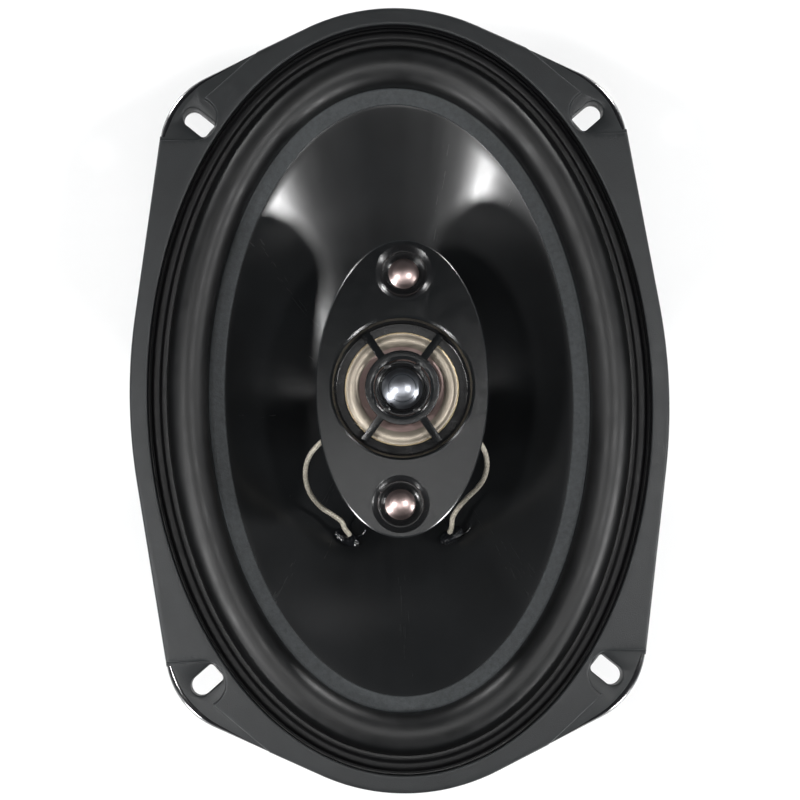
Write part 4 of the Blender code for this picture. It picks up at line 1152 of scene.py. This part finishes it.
def build_guard():
    """Ring over the centre dome on four arms, and the lugs under its inner edge."""
    bottom, top = 97.5, 99.2
    guard = turned("guard_ring", eased([(8.5, top - 0.75), (9.3, top), (11.0, top), (11.0, bottom),
                                        (8.5, bottom)], 0.18), housing_plastic)
    start, reach = 10.0, 19.3
    middle = (start + reach) / 2
    lugs = bmesh.new()
    for upper, side in ((1, 1), (1, -1), (-1, 1), (-1, -1)):
        angle = upper * (math.pi / 2 - side * GUARD_ANGLE)
        arm = bmesh.new()
        add_block(arm, (reach - start, 2.3, top - bottom - 0.04), middle, angle, (top + bottom) / 2)
        combine(guard, bevelled(new_object("arm", arm, housing_plastic), 0.22), "UNION")
        add_block(lugs, (1.7, 2.0, 0.7), 7.75, angle, 97.75)
    dress(turned_pod(guard), "frame", "housing_plastic", "guard_grille")
    lugs = turned_pod(bevelled(new_object("guard_lugs", lugs, black_plastic), 0.15))
    dress(lugs, "frame", "black_plastic")


def build_midrange():
    frame_profile = eased([
        (20.4, 96.5), (21.5, 96.5), (21.5, 91.5), (16.2, 87.3), (9.9, 87.3), (9.9, 88.3),
        (15.4, 88.3), (16.0, 88.9), (16.0, 93.4), (19.6, 93.4), (20.4, 94.2)], 0.3)
    chassis = turned("midrange_chassis", frame_profile, black_plastic)
    dress(chassis, "frame", "black_plastic", "midrange_frame")
    magnet = turned("midrange_magnet_pot", eased([
        (0.0, 89.3), (8.6, 89.3), (8.6, 87.0), (13.0, 87.0), (13.0, 84.2), (0.0, 84.2)], 0.4),
        zinc_steel, columns=96)
    dress(magnet, "frame", "zinc_steel", "midrange_magnet")
    front = [(0.0, 90.4), (8.0, 90.6), (12.6, 93.6), (13.1, 94.1), (13.8, 94.65), (14.6, 94.9),
             (15.4, 94.8), (16.0, 94.45), (16.5, 94.35), (16.7, 94.5), (16.85, 94.5), (17.0, 94.3)]
    back = [(17.0, 93.9), (16.2, 93.95), (15.3, 94.3), (14.4, 94.4), (13.6, 94.0), (12.8, 93.3),
            (8.2, 90.2), (0.0, 90.0)]
    diaphragm = turned("midrange_cone", eased(front + back, 0.35), champagne, rosy_film, gold_bead)
    for polygon in diaphragm.data.polygons:
        r = math.hypot(polygon.center.x, polygon.center.y) / MM
        polygon.material_index = 1 if r < 12.75 else 2 if r > 16.55 else 0
    bend(diaphragm,
         "midrange_diaphragm")
    coil = turned("midrange_coil", tube(8.9, 9.4, 87.6, 89.8, 0.1), copper, columns=96)
    dress(coil, "midrange", "copper_wire", "midrange_voice_coil")


def dome_section(radius, base, rise, flange, wall):
    """Thin spherical cap with a small rolled edge and a flat flange."""
    ball = (radius ** 2 + rise ** 2) / (2 * rise)
    reach = math.degrees(math.asin(radius / ball))
    centre = base + rise - ball
    front = arc((0.0, centre), ball, 90, 90 - reach, 24)
    front[0] = (0.0, front[0][1])
    back = arc((0.0, centre), ball - wall, 90 - reach, 90, 24)
    back[-1] = (0.0, back[-1][1])
    edge = radius + flange
    return front + [(radius + 0.2, base + 0.12), (edge, base), (edge, base - wall)] + back


def build_tweeter(suffix, y, size, film, body, names):
    """Cup, magnet, dome and coil of one dome tweeter on the pod's long axis."""
    radius, rise, cup_outer, floor, cup_top, coil = size
    cup_name, magnet_name, dome_name, coil_name = names
    inner = cup_outer - 0.7
    cup = eased([(0.0, floor + 0.8), (inner, floor + 0.8), (inner, cup_top), (cup_outer, cup_top),
                 (cup_outer, floor), (0.0, floor)], 0.18)
    centre = pod_place(y)
    round_part = {"columns": SMALL_COLUMNS, "centre": centre}
    dress(turned(f"{cup_name}_turned{suffix}", cup, black_plastic, **round_part),
          "frame", "black_plastic", cup_name + suffix)
    bottom = floor + 1.1
    slug = eased([(0.0, bottom + 1.9), (coil - 0.5, bottom + 1.9), (coil - 0.5, bottom), (0.0, bottom)],
                 0.2)
    dress(turned(f"{magnet_name}_turned{suffix}", slug, zinc_steel, **round_part),
          "frame", "zinc_steel", magnet_name + suffix)
    base = cup_top - 1.6
    dome = turned(f"{dome_name}_film{suffix}", dome_section(radius, base, rise, 0.5, 0.3), film,
                  black_plastic, **round_part)
    for polygon in dome.data.polygons:
        if math.dist(polygon.center[:2], (centre[0] * MM, centre[1] * MM)) > (radius - 0.15) * MM:
            polygon.material_index = 1
    dress(dome, body, "silver_dome", dome_name + suffix)
    ring = turned(f"{coil_name}_turned{suffix}", tube(coil, coil + 0.4, base - 2.3, base - 0.6, 0.08),
                  copper, **round_part)
    dress(ring, body, "copper_wire", coil_name + suffix)
    collar = turned(f"{dome_name}_collar{suffix}", eased([
        (radius + 0.55, base + 0.1), (inner - 0.05, base + 0.5), (inner - 0.05, base - 0.2),
        (radius + 0.55, base - 0.2)], 0.1), black_plastic, **round_part)
    dress(collar, "frame", "black_plastic")


def build_tweeters():
    build_tweeter("", 0.0, (6.3, 2.4, 8.2, 91.6, 97.2, 5.4), silver_dome, "tweeter",
                  ("tweeter_cup", "tweeter_magnet", "tweeter_dome", "tweeter_voice_coil"))
    names = ("super_tweeter_cup", "super_tweeter_magnet", "super_tweeter_dome",
             "super_tweeter_voice_coil")
    for suffix, y, film in (("_top", SUPER_Y, pink_dome_top), ("_bottom", -SUPER_Y, pink_dome_bottom)):
        build_tweeter(suffix, y, (4.7, 1.4, 7.0, 91.0, 97.7, 4.0), film,
                      "super_tweeter" + suffix, names)


def build_capacitors():
    """Crossover capacitors with a crimped sleeve, glued inside the pod."""
    half, radius = 7.5, 2.9
    profile = eased([(0.0, -half), (radius, -half), (radius, -half + 1.2), (radius - 0.3, -half + 1.7),
                     (radius, -half + 2.2), (radius, half), (2.2, half), (2.1, half - 0.3),
                     (0.0, half - 0.3)], 0.25)
    for number, side in ((1, 1), (2, -1)):
        can = turned(f"capacitor_can_{number}", profile, sleeve, columns=48)
        place = Vector((0.0, side * 28.0, 87.1)) * MM
        moved(can, Matrix.Translation(place) @ Matrix.Rotation(math.pi / 2, 4, "Y"))
        dress(turned_pod(can), "frame", "capacitor_sleeve", f"crossover_capacitor_{number}")


# --- stage ---------------------------------------------------------------------------------

def add_light(name, place, aim, size, power):
    data = bpy.data.lights.new(name, "AREA")
    data.shape = "DISK"
    data.size = size
    data.energy = power
    light = bpy.data.objects.new(name, data)
    light.location = place
    light.rotation_euler = (Vector(aim) - Vector(place)).to_track_quat("-Z", "Y").to_euler()
    bpy.context.scene.collection.objects.link(light)


def add_stage():
    bpy.context.scene.view_settings.view_transform = "Standard"
    bm = bmesh.new()
    bmesh.ops.create_grid(bm, x_segments=2, y_segments=2, size=2500.0)
    floor_paint = surface("floor_paint", (0.86, 0.86, 0.86), 0.6, grain=(6.0, 0.02),
                          mottle=(90.0, 0.01))
    new_object("floor", bm, floor_paint)
    world = bpy.data.worlds.new("studio")
    world.use_nodes = True
    tree = world.node_tree
    sky = tree.nodes["Background"]
    upward = add_node(tree, "SeparateXYZ", {0: add_node(tree, "TexCoord").outputs["Generated"]})
    ramp = add_node(tree, "ValToRGB", {"Fac": upward.outputs["Z"]})
    stops = ramp.color_ramp.elements
    stops[0].position, stops[0].color = 0.15, (0.85, 0.93, 1.0, 1.0)
    stops[1].position, stops[1].color = 0.85, (0.012, 0.012, 0.013, 1.0)
    middle_stop = stops.new(0.55)
    middle_stop.color = (0.22, 0.24, 0.26, 1.0)
    tree.links.new(ramp.outputs[0], sky.inputs["Color"])
    sky.inputs["Strength"].default_value = 0.2
    bpy.context.scene.world = world
    middle = (0.0, 0.0, FRONT * MM)
    add_light("lamp_left", (-0.24, -0.02, 0.64), middle, 0.06, 0.85)
    add_light("lamp_right", (0.22, 0.02, 0.64), middle, 0.06, 0.85)
    add_light("lamp_front", (-0.01, -0.07, 0.74), middle, 0.20, 0.3)
    add_light("lamp_low_left", (-0.351, -0.185, 0.464), middle, 0.06, 1.15)
    add_light("lamp_low_right", (0.455, -0.120, 0.370), middle, 0.06, 1.15)
    for number, (x, y) in enumerate(((0.40, 0.42), (-0.40, 0.42), (-0.40, -0.42), (0.40, -0.42))):
        add_light(f"floor_lamp_{number}", (x, y, 0.09), (0.0, 0.0, 0.0), 0.10, 3.4)


add_camera()
build_leads()
build_trim_ring()
build_basket()
build_surround()
build_cone()
build_coil()
build_spider()
build_glue()
build_motor()
build_terminals()
build_post()
build_housing()
build_guard()
build_midrange()
build_tweeters()
build_capacitors()
add_stage()
